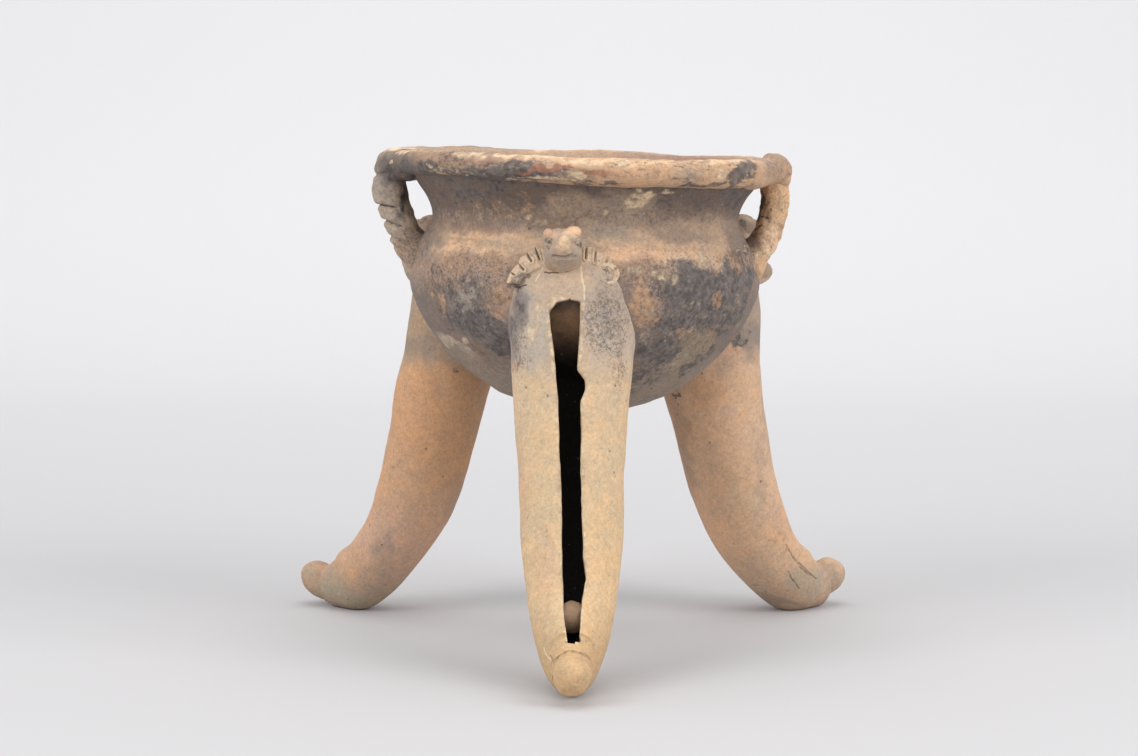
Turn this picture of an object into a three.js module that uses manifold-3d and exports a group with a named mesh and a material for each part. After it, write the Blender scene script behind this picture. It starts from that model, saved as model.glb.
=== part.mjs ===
// Tripod rattle vessel in hand-built earthenware: a round bowl with a flared neck and a thick rim,
// two loop handles, and three bowed hollow legs. Each leg has a long slot down its outer side, a
// loose clay pellet inside and a button toe, and carries a small animal head between notched arms.
// Millimetres, +Z up. The floor is z = 0 and the origin is the middle of the footprint.
import * as THREE from 'three';
import { mergeVertices } from 'three/addons/utils/BufferGeometryUtils.js';
import Module from 'manifold-3d';

const wasm = await Module();
wasm.setup();

// Shapes are worked out round the legs' common axis, which stands behind the origin
const LEG_AXIS_AT = [-1.3, 36.4];
const GAP = 0.3;
const SMALLEST_FACET = 0.06;
const DEGREE = Math.PI / 180;

// Bowl, neck and rim: radius and height of the outside, bottom first
const WALL = 6;
const BOWL_PROFILE = [
  [0, 115], [20, 117], [38, 122.3], [52, 130], [65, 141], [76, 153.5],
  [83.5, 166], [87.2, 178], [86.9, 188], [84.2, 197], [79.9, 203.7],
];
const NECK_PROFILE = [
  [79.9, 204], [77.6, 207.5], [76.5, 212], [77.2, 217], [79.8, 222.5], [83.4, 227.3], [85.7, 230.5],
];
const RIM_PROFILE = [
  [79.5, 230.8], [88, 230.8], [93, 232.6], [95, 237.2], [93.6, 241.8],
  [89.5, 244], [84.5, 243.4], [80.8, 240.2], [79.3, 235.5],
];
const BOWL_STEPS = 11;
const NECK_STEPS = 5;
const AROUND = 40;
// The hand-built bowl stands a little off the legs' axis and leans to one side
const BOWL_X = 6.2;
const BOWL_TILT = 1.2 * DEGREE;
const TILT_HEIGHT = 160;

// Legs, in each leg's own upright plane: distance out, height, half width and half depth
const LEG_STATIONS = [
  [69.5, 178, 32, 25], [73.3, 160, 30.3, 24.6], [77.3, 137, 28.4, 23.6], [82.7, 115, 26.2, 22.8],
  [87.6, 94, 25, 21.9], [93.5, 73, 24.4, 20.8], [100.2, 56, 23.1, 19.6], [109.5, 39.3, 21, 18.4],
  [121, 24.8, 18.4, 17.8], [133, 15.8, 15.6, 17.4], [143, 13, 11.8, 14.2], [150, 12.4, 9, 11.2],
];
const LEG_TOP_DOME = 11;
const LEG_END_DOME = 4.5;
const CAVITY_STATIONS = [
  [71.5, 172, 23, 18], [77.5, 137, 22.3, 17], [83, 115, 20, 16], [88, 94, 18.8, 15],
  [94, 73, 18.2, 13.8], [101.2, 56, 16.8, 12.6], [110.4, 40.4, 14.4, 11], [116.9, 32.2, 12, 9],
  [123, 27, 9, 6.8], [133, 19.5, 6.4, 4.4],
];
const CAVITY_TOP_DOME = 8;
const CAVITY_END_DOME = 3;
const LEG_STEPS = 16;
const LEG_SIDES = 20;
const CAVITY_STEPS = 12;
const CAVITY_SIDES = 12;
// Each leg: the way it points, how far its foot is shifted, how far it leans above the foot and near
// the top, how much stouter it is, and its toe (distance out, height, radius). Its figure: sideways
// place on the leg, how far the head is pushed out, and how far out the arms reach.
const LEGS = [
  {
    name: 'front', azimuth: -90, footShift: 0, lean: [0, 0], girth: 0, wornSlot: true,
    toe: [158, 14.2, 9.7], figureSide: -3.3, headOut: 0, armReach: 93.5,
  },
  {
    name: 'rear_left', azimuth: 150, footShift: 0, lean: [3, 3], girth: 0, wornSlot: false,
    toe: [158, 13.3, 8.8], figureSide: -3, headOut: 0, armReach: 92,
  },
  {
    name: 'rear_right', azimuth: 30, footShift: 3.7, lean: [3, 4.4], girth: 0.9, wornSlot: false,
    toe: [156.7, 15.2, 9.2], figureSide: 0, headOut: 2.6, armReach: 95.5,
  },
];
// Heights over which the shift of the foot fades and the two leans grow
const FOOT_SHIFT_FADES = [8, 48];
const LOWER_LEAN_GROWS = [20, 62];
const UPPER_LEAN_GROWS = [120, 190];

// Slots: sideways place of each edge and its height, from the toe up the left side and down the right
const WORN_SLOT = [
  [-1.6, 25.8], [-3.4, 36], [-4.4, 60], [-5.2, 95], [-6.2, 132], [-8.4, 153], [-10.4, 173],
  [-7, 177.4], [-1, 178.8], [4, 177.8], [3.4, 160], [3, 146], [6.3, 141.5], [6.2, 136.5],
  [4, 132], [4.4, 95], [5.3, 62], [6.6, 52], [4.7, 44], [4.6, 34], [4.4, 25.8],
];
const CLEAN_SLOT = [
  [-2, 26], [-3.6, 36], [-4.8, 90], [-6, 140], [-6.6, 170], [-4, 176.5],
  [4, 176.5], [6.6, 170], [6, 140], [4.8, 90], [3.6, 36], [2, 26],
];
const SLOT_REACH_OUT = 180;
const SLOT_SIDE_ROOM = 20;

// Loose pellet in each leg: where it rests
const PELLET_AT = [116.6, 32.3];
const PELLET_RADIUS = 7.8;

// Handles, in the upright plane of the legs' axis: sideways place, height, half width and half depth
const LEFT_HANDLE = [
  [-88.4, 241, 8.2, 6.8], [-90.6, 235.6, 9, 7.8], [-91, 229.5, 9, 8], [-90.2, 222, 9, 8],
  [-87.6, 214, 8.8, 8.1], [-84.6, 206, 8.8, 7.9], [-81.4, 198, 8.2, 6.9], [-77.9, 190, 7, 5.4],
  [-74.8, 183.5, 5.6, 4],
];
const LEFT_HANDLE_PINCHES = [233, 218, 211, 203];
const RIGHT_HANDLE = [
  [98.4, 240.2, 8.2, 6.4], [100.8, 235, 9, 7.4], [101.6, 228.6, 9, 7.2], [101.6, 220, 8.8, 7],
  [100.6, 211.5, 8.6, 7], [98.4, 204, 8.4, 7], [95.4, 197.5, 8, 6.4], [92, 191, 7, 5.4],
  [89, 185.5, 5.6, 4],
];
const PINCH_DEPTH = 0.17;
const PINCH_REACH = 2.2;
const HANDLE_STEPS = 22;
const HANDLE_SIDES = 10;

// Animal figure over each leg, placed from the bowl's own axis
const HEAD_SIDE = -1;
const HEAD_AT = [92, 0, 201.6];
const HEAD_SIZE = [9.8, 8.8, 9.6];
const EAR_AT = [92.6, 6.1, 209.4];
const EAR_SIZE = [2.9, 3, 2.5];
const SNOUT_AT = [100.6, 1.6, 203.2];
const SNOUT_SIZE = [3.6, 3.2, 3.2];
const EYE_AT = [99.6, 6, 205.4];
const EYE_RADIUS = 1.5;
const MOUTH_AT = [101.8, 0, 199];
const MOUTH_SIZE = [5, 10, 0.9];
const ARM_CENTRE = [11, 184.6];
const ARM_RADIUS = 16.2;
const ARM_INNER_RADIUS = 8.4;
const ARM_ROOT = 74;
const ARM_FROM = 84;
const ARM_TO = 178;
const ARM_NOTCHES = 4;
const NOTCH_DEPTH = 4.6;
const NOTCH_ANGLE = 4.5;
const FINGER_ROUND = 0.6;

const CLAY = {
  legs: { color: 0xb9946a, roughness: 0.85 },
  soot: { color: 0x5b5049, roughness: 0.8 },
  rim: { color: 0x8f7358, roughness: 0.8 },
  handles: { color: 0x94785b, roughness: 0.85 },
  figures: { color: 0x8c7a69, roughness: 0.85 },
  pellets: { color: 0x8a7660, roughness: 0.9 },
};

// Makes a solid for cutting and joining from a closed geometry
function solidOf(geometry) {
  const bare = geometry.clone();
  bare.deleteAttribute('normal');
  bare.deleteAttribute('uv');
  const merged = mergeVertices(bare);
  const index = merged.index.array;
  const corners = [];
  for (let i = 0; i < index.length; i += 3) {
    const [a, b, c] = [index[i], index[i + 1], index[i + 2]];
    if (a !== b && b !== c && c !== a) corners.push(a, b, c);
  }
  return new wasm.Manifold(new wasm.Mesh({
    numProp: 3,
    vertProperties: new Float32Array(merged.attributes.position.array),
    triVerts: new Uint32Array(corners),
  }));
}

// Edges shorter than the smallest facet go, so that a cut leaves no slivers
function geometryOf(solid) {
  const mesh = solid.simplify(SMALLEST_FACET).getMesh();
  const geometry = new THREE.BufferGeometry();
  geometry.setAttribute('position', new THREE.BufferAttribute(new Float32Array(mesh.vertProperties), 3));
  geometry.setIndex(new THREE.BufferAttribute(new Uint32Array(mesh.triVerts), 1));
  geometry.computeVertexNormals();
  return geometry;
}

// Cuts a geometry by a list of solids
function cut(geometry, cutters) {
  let solid = solidOf(geometry);
  for (const cutter of cutters) solid = solid.subtract(cutter);
  return solid;
}

// A closed skin over equal rings of points, with a fan at each end
function loft(rings) {
  const count = rings[0].length;
  const positions = [];
  const index = [];
  for (const ring of rings) {
    for (const point of ring) positions.push(point.x, point.y, point.z);
  }
  for (let row = 0; row < rings.length - 1; row++) {
    for (let i = 0; i < count; i++) {
      const a = row * count + i;
      const b = row * count + (i + 1) % count;
      index.push(a, b, a + count, b, b + count, a + count);
    }
  }
  for (const [ring, first] of [[rings[0], 0], [rings[rings.length - 1], (rings.length - 1) * count]]) {
    const middle = new THREE.Vector3();
    for (const point of ring) middle.addScaledVector(point, 1 / count);
    const centre = positions.length / 3;
    positions.push(middle.x, middle.y, middle.z);
    for (let i = 0; i < count; i++) {
      const a = first + i;
      const b = first + (i + 1) % count;
      if (first === 0) index.push(centre, b, a);
      else index.push(centre, a, b);
    }
  }
  const geometry = new THREE.BufferGeometry();
  geometry.setAttribute('position', new THREE.Float32BufferAttribute(positions, 3));
  geometry.setIndex(index);
  return geometry;
}

// A bent tube with oval sections, in the X-Z plane: each station is X, Z, half width along Y and half
// depth in the plane. The ends close with domes. The squeeze scales a section by its height.
function ovalTube(stations, { steps, sides, startDome, endDome, grow = 0, squeeze = () => 1 }) {
  const path = new THREE.CatmullRomCurve3(stations.map(([x, z]) => new THREE.Vector3(x, 0, z)));
  const sizes = new THREE.CatmullRomCurve3(
    stations.map(([, , width, depth]) => new THREE.Vector3(width + grow, depth + grow, 0)));
  const sideways = new THREE.Vector3(0, 1, 0);
  const section = (t, along, scale) => {
    const tangent = path.getTangent(t);
    const outward = new THREE.Vector3().crossVectors(sideways, tangent);
    const middle = path.getPoint(t).addScaledVector(tangent, along);
    const { x: width, y: depth } = sizes.getPoint(t);
    const size = scale * squeeze(middle.z);
    const ring = [];
    for (let i = 0; i < sides; i++) {
      const angle = (i / sides) * 2 * Math.PI;
      ring.push(middle.clone()
        .addScaledVector(outward, depth * size * Math.cos(angle))
        .addScaledVector(sideways, width * size * Math.sin(angle)));
    }
    return ring;
  };
  const dome = (t, length, angles) => angles.map(
    (angle) => section(t, length * Math.sin(angle * DEGREE), Math.cos(angle * DEGREE)));
  const rings = [];
  if (startDome > 0) rings.push(...dome(0, -(startDome + grow), [82, 58, 30]));
  for (let i = 0; i <= steps; i++) rings.push(section(i / steps, 0, 1));
  if (endDome > 0) rings.push(...dome(1, endDome + grow, [30, 58, 82]));
  return loft(rings);
}

// Points along a smooth line through a profile
function smooth(profile, steps) {
  return new THREE.SplineCurve(profile.map(([r, z]) => new THREE.Vector2(r, z))).getPoints(steps);
}

// The same line moved square to itself, to the right of its direction
function moved(line, distance) {
  return line.map((point, i) => {
    const before = line[Math.max(i - 1, 0)];
    const after = line[Math.min(i + 1, line.length - 1)];
    const along = after.clone().sub(before).normalize();
    return new THREE.Vector2(Math.max(point.x + along.y * distance, 0), point.y - along.x * distance);
  });
}

function turned(points) {
  return new THREE.LatheGeometry(points, AROUND).rotateX(Math.PI / 2);
}

// Sets a shape turned round the Z axis onto the bowl's own leaning axis
function seated(geometry) {
  return geometry.translate(0, 0, -TILT_HEIGHT).rotateY(BOWL_TILT).translate(BOWL_X, 0, TILT_HEIGHT);
}

function bowlGeometry() {
  const outside = smooth(BOWL_PROFILE, BOWL_STEPS);
  const inside = moved(outside, -WALL);
  inside[0].x = 0;
  inside[inside.length - 1].y = outside[outside.length - 1].y;
  return seated(turned([...outside, ...inside.reverse()]));
}

function neckGeometry() {
  const outside = smooth(NECK_PROFILE, NECK_STEPS);
  const inside = moved(outside, -WALL);
  const [bottom, top] = [outside[0].y, outside[outside.length - 1].y];
  for (const point of inside) point.y = THREE.MathUtils.clamp(point.y, bottom, top);
  inside[0].y = bottom;
  inside[inside.length - 1].y = top;
  return seated(turned([...outside, ...inside.reverse(), outside[0]]));
}

function rimLine(grow) {
  const middle = new THREE.Vector2(87.2, 237.4);
  const line = RIM_PROFILE.map(([r, z]) => new THREE.Vector2(r, z));
  for (const point of line) point.add(point.clone().sub(middle).setLength(grow));
  return [...line, line[0]];
}

// The whole outside of bowl and neck, grown by the gap, to fit the other pieces round it
function vesselCutter() {
  const outside = [...smooth(BOWL_PROFILE, BOWL_STEPS), ...smooth(NECK_PROFILE, NECK_STEPS)];
  const grown = moved(outside, GAP);
  grown[0].x = 0;
  grown.push(new THREE.Vector2(0, grown[grown.length - 1].y));
  return solidOf(seated(turned(grown)));
}

// Turns a shape made in a leg's plane to that leg's place, with the leg's sideways lean
function atLeg(geometry, leg) {
  geometry.rotateZ(leg.azimuth * DEGREE);
  const place = geometry.attributes.position;
  for (let i = 0; i < place.count; i++) {
    const height = place.getZ(i);
    const foot = leg.footShift * (1 - THREE.MathUtils.smoothstep(height, ...FOOT_SHIFT_FADES));
    const lower = leg.lean[0] * THREE.MathUtils.smoothstep(height, ...LOWER_LEAN_GROWS);
    const upper = leg.lean[1] * THREE.MathUtils.smoothstep(height, ...UPPER_LEAN_GROWS);
    place.setX(i, place.getX(i) + foot + lower + upper);
  }
  return geometry;
}

// Places a shape of a figure: distance out from the bowl's axis, sideways from its middle, and height
function atFigure(geometry, leg, out, side, height) {
  const azimuth = leg.azimuth * DEGREE;
  geometry.translate(out + BOWL_X * Math.cos(azimuth), side + leg.figureSide, height);
  return geometry.rotateZ(azimuth);
}

function ball([depth, width, height], sides, rings) {
  return new THREE.SphereGeometry(1, sides, rings).rotateX(Math.PI / 2).scale(depth, width, height);
}

function legTube(leg, grow) {
  return atLeg(ovalTube(LEG_STATIONS, {
    steps: LEG_STEPS, sides: LEG_SIDES, startDome: LEG_TOP_DOME, endDome: LEG_END_DOME,
    grow: grow + leg.girth,
  }), leg);
}

function cavity(leg) {
  return atLeg(ovalTube(CAVITY_STATIONS, {
    steps: CAVITY_STEPS, sides: CAVITY_SIDES, startDome: CAVITY_TOP_DOME, endDome: CAVITY_END_DOME,
  }), leg);
}

// An outline in a leg's Y-Z plane, carried outward from one distance to another
function carriedOut(outline, from, to) {
  const shape = new THREE.Shape(outline.map(([side, height]) => new THREE.Vector2(side, height)));
  const geometry = new THREE.ExtrudeGeometry(shape, { depth: to - from, bevelEnabled: false });
  return geometry.rotateX(Math.PI / 2).rotateZ(Math.PI / 2).translate(from, 0, 0);
}

// The slot goes through the outer wall alone: its outline is kept only outside the cavity's middle line
function slotCutter(leg) {
  const opening = solidOf(carriedOut(leg.wornSlot ? WORN_SLOT : CLEAN_SLOT, 0, SLOT_REACH_OUT));
  const line = CAVITY_STATIONS.map(([r, z]) => new THREE.Vector2(r, z));
  const [top, end] = [line[0], line[line.length - 1]];
  const side = new THREE.Shape([
    new THREE.Vector2(top.x, top.y + CAVITY_TOP_DOME), ...line,
    new THREE.Vector2(SLOT_REACH_OUT, end.y), new THREE.Vector2(SLOT_REACH_OUT, top.y + CAVITY_TOP_DOME),
  ]);
  const outside = new THREE.ExtrudeGeometry(side, { depth: 2 * SLOT_SIDE_ROOM, bevelEnabled: false })
    .rotateX(Math.PI / 2).translate(0, SLOT_SIDE_ROOM, 0);
  return solidOf(atLeg(geometryOf(opening.intersect(solidOf(outside))), leg));
}

function toe(leg, grow) {
  const [out, height, radius] = leg.toe;
  const size = [radius + grow, radius + grow, radius + grow];
  return atLeg(ball(size, 14, 10).translate(out, 0, height), leg);
}

function pellet(leg) {
  const geometry = new THREE.IcosahedronGeometry(PELLET_RADIUS, 2);
  return atLeg(geometry.translate(PELLET_AT[0], 0, PELLET_AT[1]), leg);
}

// One arm of a figure is a notched fan beside the head
function arm(leg, side) {
  const outline = [];
  const add = (radius, angle) => outline.push([
    side * (ARM_CENTRE[0] - radius * Math.cos(angle * DEGREE)),
    ARM_CENTRE[1] + radius * Math.sin(angle * DEGREE),
  ]);
  const pitch = (ARM_TO - ARM_FROM) / (ARM_NOTCHES + 1);
  for (let finger = 0; finger <= ARM_NOTCHES; finger++) {
    const angle = ARM_FROM + finger * pitch;
    if (finger > 0) add(ARM_RADIUS - NOTCH_DEPTH, angle);
    add(ARM_RADIUS - FINGER_ROUND, angle + NOTCH_ANGLE / 2);
    add(ARM_RADIUS, angle + pitch / 2);
    add(ARM_RADIUS - FINGER_ROUND, angle + pitch - NOTCH_ANGLE / 2);
  }
  for (let i = 0; i <= 4; i++) add(ARM_INNER_RADIUS, ARM_TO - (i * (ARM_TO - ARM_FROM)) / 4);
  return atFigure(carriedOut(outline, ARM_ROOT, leg.armReach), leg, 0, 0, 0);
}

// Places a shape of a head: distance out and sideways from the bowl's axis at the head's middle, and height
function atHead(geometry, leg, [out, side, height]) {
  return atFigure(geometry, leg, out + leg.headOut, HEAD_SIDE + side, height);
}

function head(leg, grow) {
  const size = HEAD_SIZE.map((radius) => radius + grow);
  return atHead(ball(size, 12, 10), leg, HEAD_AT);
}

function snout(leg, grow) {
  const size = SNOUT_SIZE.map((radius) => radius + grow);
  return atHead(ball(size, 8, 6), leg, SNOUT_AT);
}

function ear(leg, side, grow) {
  const size = EAR_SIZE.map((radius) => radius + grow);
  return atHead(ball(size, 8, 6), leg, [EAR_AT[0], side * EAR_AT[1], EAR_AT[2]]);
}

// Each handle is pinched between its rolls
function handle(stations, pinches) {
  const squeeze = (height) => pinches.reduce((size, pinch) => {
    const away = (height - pinch) / PINCH_REACH;
    return size * (1 - PINCH_DEPTH * Math.exp(-away * away));
  }, 1);
  return ovalTube(stations, {
    steps: HANDLE_STEPS, sides: HANDLE_SIDES, startDome: 5.5, endDome: 3, squeeze,
  });
}

const vessel = new THREE.Group();
vessel.position.set(...LEG_AXIS_AT, 0);

function addPiece(name, shape, clay) {
  const geometry = shape instanceof THREE.BufferGeometry ? shape : geometryOf(shape);
  const mesh = new THREE.Mesh(geometry, new THREE.MeshStandardMaterial({ ...CLAY[clay], metalness: 0 }));
  mesh.name = name;
  vessel.add(mesh);
}

const bowlAndNeck = vesselCutter();
const rimAround = solidOf(seated(turned(rimLine(GAP))));
const floor = solidOf(new THREE.BoxGeometry(500, 500, 20).translate(0, 0, -10));

addPiece('bowl', bowlGeometry(), 'soot');
addPiece('neck', neckGeometry(), 'soot');
addPiece('rim', seated(turned(rimLine(0))), 'rim');
addPiece('handle_left', cut(handle(LEFT_HANDLE, LEFT_HANDLE_PINCHES), [bowlAndNeck, rimAround]), 'handles');
addPiece('handle_right', cut(handle(RIGHT_HANDLE, []), [bowlAndNeck, rimAround]), 'handles');

for (const leg of LEGS) {
  const legAround = solidOf(legTube(leg, GAP));
  const headAround = solidOf(head(leg, GAP));
  const eyes = [-1, 1].map((side) => solidOf(atHead(
    new THREE.IcosahedronGeometry(EYE_RADIUS, 1), leg, [EYE_AT[0], side * EYE_AT[1], EYE_AT[2]])));
  const mouth = solidOf(atHead(new THREE.BoxGeometry(...MOUTH_SIZE), leg, MOUTH_AT));
  const features = [-1, 1].map((side) => solidOf(ear(leg, side, GAP)));
  features.push(solidOf(snout(leg, GAP)));

  addPiece(`leg_${leg.name}`, cut(legTube(leg, 0), [
    solidOf(cavity(leg)), slotCutter(leg), solidOf(toe(leg, GAP)), bowlAndNeck, floor,
  ]), 'legs');
  addPiece(`toe_${leg.name}`, toe(leg, 0), 'legs');
  addPiece(`pellet_${leg.name}`, pellet(leg), 'pellets');
  addPiece(`head_${leg.name}`, cut(head(leg, 0), [
    bowlAndNeck, legAround, ...eyes, mouth, ...features,
  ]), 'figures');
  addPiece(`snout_${leg.name}`, snout(leg, 0), 'figures');
  for (const [side, word] of [[-1, 'left'], [1, 'right']]) {
    addPiece(`ear_${leg.name}_${word}`, ear(leg, side, 0), 'figures');
    addPiece(`arm_${leg.name}_${word}`, cut(arm(leg, side), [bowlAndNeck, legAround, headAround]), 'figures');
  }
}

export default vessel;
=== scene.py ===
"""The looks of a tripod rattle vessel: hand-built, smoke-darkened earthenware on three bowed legs.

Shapes are worked out in millimetres round the legs' common axis, then moved to the row's frame in metres.
Places on the clay are painted straight through the vessel, so the back carries the same kind of marks as
the front, broken up by noise.
"""
import math

import bpy
import numpy as np
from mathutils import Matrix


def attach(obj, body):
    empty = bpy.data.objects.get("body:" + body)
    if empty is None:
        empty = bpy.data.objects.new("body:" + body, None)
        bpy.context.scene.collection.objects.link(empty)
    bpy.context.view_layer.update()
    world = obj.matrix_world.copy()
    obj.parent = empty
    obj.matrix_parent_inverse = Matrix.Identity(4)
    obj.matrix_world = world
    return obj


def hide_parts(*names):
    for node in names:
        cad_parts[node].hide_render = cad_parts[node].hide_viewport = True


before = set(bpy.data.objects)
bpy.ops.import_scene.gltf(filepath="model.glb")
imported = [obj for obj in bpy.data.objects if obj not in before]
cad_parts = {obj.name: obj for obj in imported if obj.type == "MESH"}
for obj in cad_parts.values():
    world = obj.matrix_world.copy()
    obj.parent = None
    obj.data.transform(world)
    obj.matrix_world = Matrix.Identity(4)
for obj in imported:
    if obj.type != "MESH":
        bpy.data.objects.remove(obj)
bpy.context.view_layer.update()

MM = 0.001
LEG_AXIS_AT = np.array([-1.3, 36.4, 0.0])

# The photograph's camera: place in millimetres, downward pitch, and focal length in its own pixels
IMAGE_WIDTH = 1138
IMAGE_HEIGHT = 756
CAMERA_AT = np.array([-2.55, -1281.6, 277.8])
CAMERA_PITCH = math.radians(6.35)
FOCAL_PIXELS = 2629.0
FILM_WIDTH = 36.0

# Bowl and neck: radius and height of the outside, bottom first
WALL = 6.0
VESSEL_PROFILE = [
    [0, 115], [20, 117], [38, 122.3], [52, 130], [65, 141], [76, 153.5],
    [83.5, 166], [87.2, 178], [86.9, 188], [84.2, 197], [79.9, 203.8],
    [77.6, 207.5], [76.5, 212], [77.2, 217], [79.8, 222.5], [83.4, 227.3], [86.2, 231.5], [87.6, 234.5],
]
JOINT_HEIGHT = 203.8
JOINT_OVERLAP = 3.0
JOINT_SINK = 0.5
RIM_PROFILE = [
    [79.4, 231.5], [83.5, 230.6], [88.3, 230.7], [92.7, 232.6], [94.8, 237], [93.7, 241.5],
    [89.7, 244], [84.6, 243.6], [80.9, 240.4], [79.2, 235.8],
]
# Where the lip's line and its underside rise or sink, by the angle round the mouth
LIP_RISES = [
    (0, -0.6), (25, -1.6), (50, -2), (80, -1), (110, -0.2), (150, 0.4), (180, 0.6), (225, 1.1), (265, 0.3),
    (300, -0.2), (335, -0.4),
]
LIP_THINNER = [(0, 0), (160, 0.3), (200, 1.4), (230, 1.6), (260, 0.6), (290, 0)]
# How far the lip reaches out into each handle, and over how many degrees
LIP_AT_HANDLES = 5.5
LIP_AT_HANDLES_ANGLE = 11
# Heights over which the lip's underside turns into its top and over which the lip begins to waver, radii
# over which its outer half begins, and how much it wavers up and down and to the side
LIP_TOP_BEGINS = (231, 243)
LIP_WAVER_BEGINS = (230, 236)
LIP_OUTER_HALF = (84, 92)
LIP_RADIUS = 90
LIP_RISE_WAVER = 0.35
LIP_SPREAD_WAVER = 0.8
# The bowl's own axis leans, and stands to one side of the legs' axis
BOWL_X = 6.2
BOWL_TILT = math.radians(1.2)
TILT_HEIGHT = 160.0

# Legs, in each leg's own upright plane: distance out, height, half width and half depth
LEG_STATIONS = [
    [69.5, 178, 30.2, 25], [73.3, 160, 29.3, 24.6], [77.3, 137, 28.2, 23.6], [82.7, 115, 26.2, 22.8],
    [87.6, 94, 25, 21.9], [93.5, 73, 24.4, 20.8], [100.2, 56, 23.1, 19.6], [109.5, 39.3, 21, 18.4],
    [121, 24.8, 17.9, 17.6],
]
FRONT_FOOT = [[133, 15.8, 13.8, 16.5], [142.5, 13.4, 8.9, 12.3], [149, 13, 6.4, 9.4]]
REAR_FOOT = [[133, 15.8, 15, 17.2], [142.5, 12.4, 11.6, 13.2], [149, 11.4, 9, 10.6]]
LEG_TOP_DOME = 20.0
LEG_END_DOME = 6.0
LEG_DOME_TURNS = [85, 80, 74, 68, 62, 56, 50, 44, 38, 32, 26, 21, 16, 11, 6, 3]
# Rows along a leg lie closer together above this height and beyond this distance out
FINE_ROWS_ABOVE = 168
FINE_ROWS_BEYOND = 112
FINE_ROW_STEP = 0.6
ROW_STEP = 1.25
# The hollow in each leg, in the same plane
CAVITY_STATIONS = [
    [70.3, 183.4, 5, 4], [70.5, 182, 13, 10], [70.8, 179, 19, 14.6], [71.5, 172, 23, 18],
    [77.5, 137, 22.3, 17], [83, 115, 20, 16], [88, 94, 18.8, 15], [94, 73, 18.2, 13.8],
    [101.2, 56, 16.8, 12.6], [110.4, 40.4, 14.4, 11], [116.9, 32.2, 12, 9], [123, 27, 9, 6.8],
    [133, 19.5, 6.4, 4.4], [139, 20.9, 4.8, 2.4], [143, 22.6, 4, 1.2], [145.6, 23.4, 3, 0.6],
]
LEGS = [
    {
        "name": "front", "azimuth": -90, "foot_shift": 0, "lean": (0, 0), "girth": 0, "slot": "worn",
        "toe_at": (157.6, 13.9), "toe_size": (8.9, 8.7, 9.3), "toe_lift": 0,
        "figure_side": -3.3, "head_out": 0, "lump": 0,
        "ears": (((-6.4, 208.9), (3.2, 2.5, 2.6)), ((5.3, 209.6), (3.3, 3.6, 3.2))),
    },
    {
        "name": "rear_left", "azimuth": 150, "foot_shift": 0, "lean": (3, 3), "girth": 0, "slot": "clean",
        "toe_at": (155.1, 12.8), "toe_size": (13, 9.2, 8.9), "toe_lift": 32,
        "figure_side": -3, "head_out": -2.4, "lump": 0,
        "ears": (((-5, 208), (3, 3, 2.6)), ((5, 208), (3, 3.2, 2.6))),
    },
    {
        "name": "rear_right", "azimuth": 30, "foot_shift": 3.7, "lean": (3, 4.4), "girth": 0.9,
        "slot": "clean", "toe_at": (154.2, 15.3), "toe_size": (11.5, 9.6, 9), "toe_lift": 26,
        "figure_side": 0, "head_out": 2.6, "lump": 17.5,
        "ears": (((-5, 208), (3, 3.2, 2.6)), ((5, 208), (3, 3, 2.6))),
    },
]
# The lump of clay beside one figure: sideways place and height, size, and degrees that its arm's fan turns on
LUMP_AT = (-17.5, 182.5)
LUMP_HALF = 6.6
LUMP_TURN = 50
# Heights between which a leg's shift at the foot fades and its leans grow
FOOT_SHIFT_FADES = (8, 48)
LOWER_LEAN_GROWS = (20, 62)
UPPER_LEAN_GROWS = (115, 165)

# Each slot's left and right edge: sideways place and height, from the toe up to where they meet
SLOT_EDGES = {
    "worn": (
        [
            [1.4, 25.7], [-1.8, 25.8], [-3.4, 36], [-4.4, 60], [-5.2, 95], [-6.2, 132], [-8.4, 153],
            [-10.4, 173], [-7, 177.4], [-1, 178.8],
        ],
        [
            [1.4, 25.7], [3.6, 25.9], [4.3, 27.4], [3.5, 29.4], [3.9, 34], [4.7, 44], [6.6, 52], [5.3, 62],
            [4.4, 95], [4, 132], [6.2, 136.5], [6.3, 141.5], [3, 146], [3.4, 160], [4, 177.4], [2.4, 178.2],
            [-1, 178.8],
        ],
    ),
    "clean": (
        [[0, 25.2], [-2, 26], [-3.6, 36], [-4.8, 90], [-6, 140], [-6.6, 170], [-4, 176.5], [0, 177.6]],
        [[0, 25.2], [2, 26], [3.6, 36], [4.8, 90], [6, 140], [6.6, 170], [4, 176.5], [0, 177.6]],
    ),
}
EDGE_ROUND = 1.1
SLOT_WALL_STEPS = 7
# The slot's edges waver by this much, less near its ends, and a slot narrower than the least is closed
SLOT_WAVER = 0.1
SLOT_WAVER_FADES = 6
SLOT_LEAST = 0.5
# Below this height a leg's rows belong to its foot, which holds the slot's lower end
FOOT_BEGINS = 60

PELLET_AT = (116.6, 32.3)
PELLET_RADIUS = 7.75

# Handles, in the upright plane of the legs' axis: sideways place, height, half width and half depth
LEFT_HANDLE = [
    [-76, 237.4, 13, 5.4], [-79.5, 238, 15.5, 6.8], [-84, 238.4, 15.5, 7.8], [-88.6, 238, 13, 8.4],
    [-91, 234.6, 10.5, 8.2], [-91.6, 229.5, 9, 8.5], [-90, 222, 9, 8.3], [-87.6, 214, 9, 8.1],
    [-85, 206, 10.5, 8.2], [-81.6, 198, 12.5, 7.5], [-77.5, 190, 12.5, 6], [-74.2, 183.5, 9, 4],
]
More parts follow.
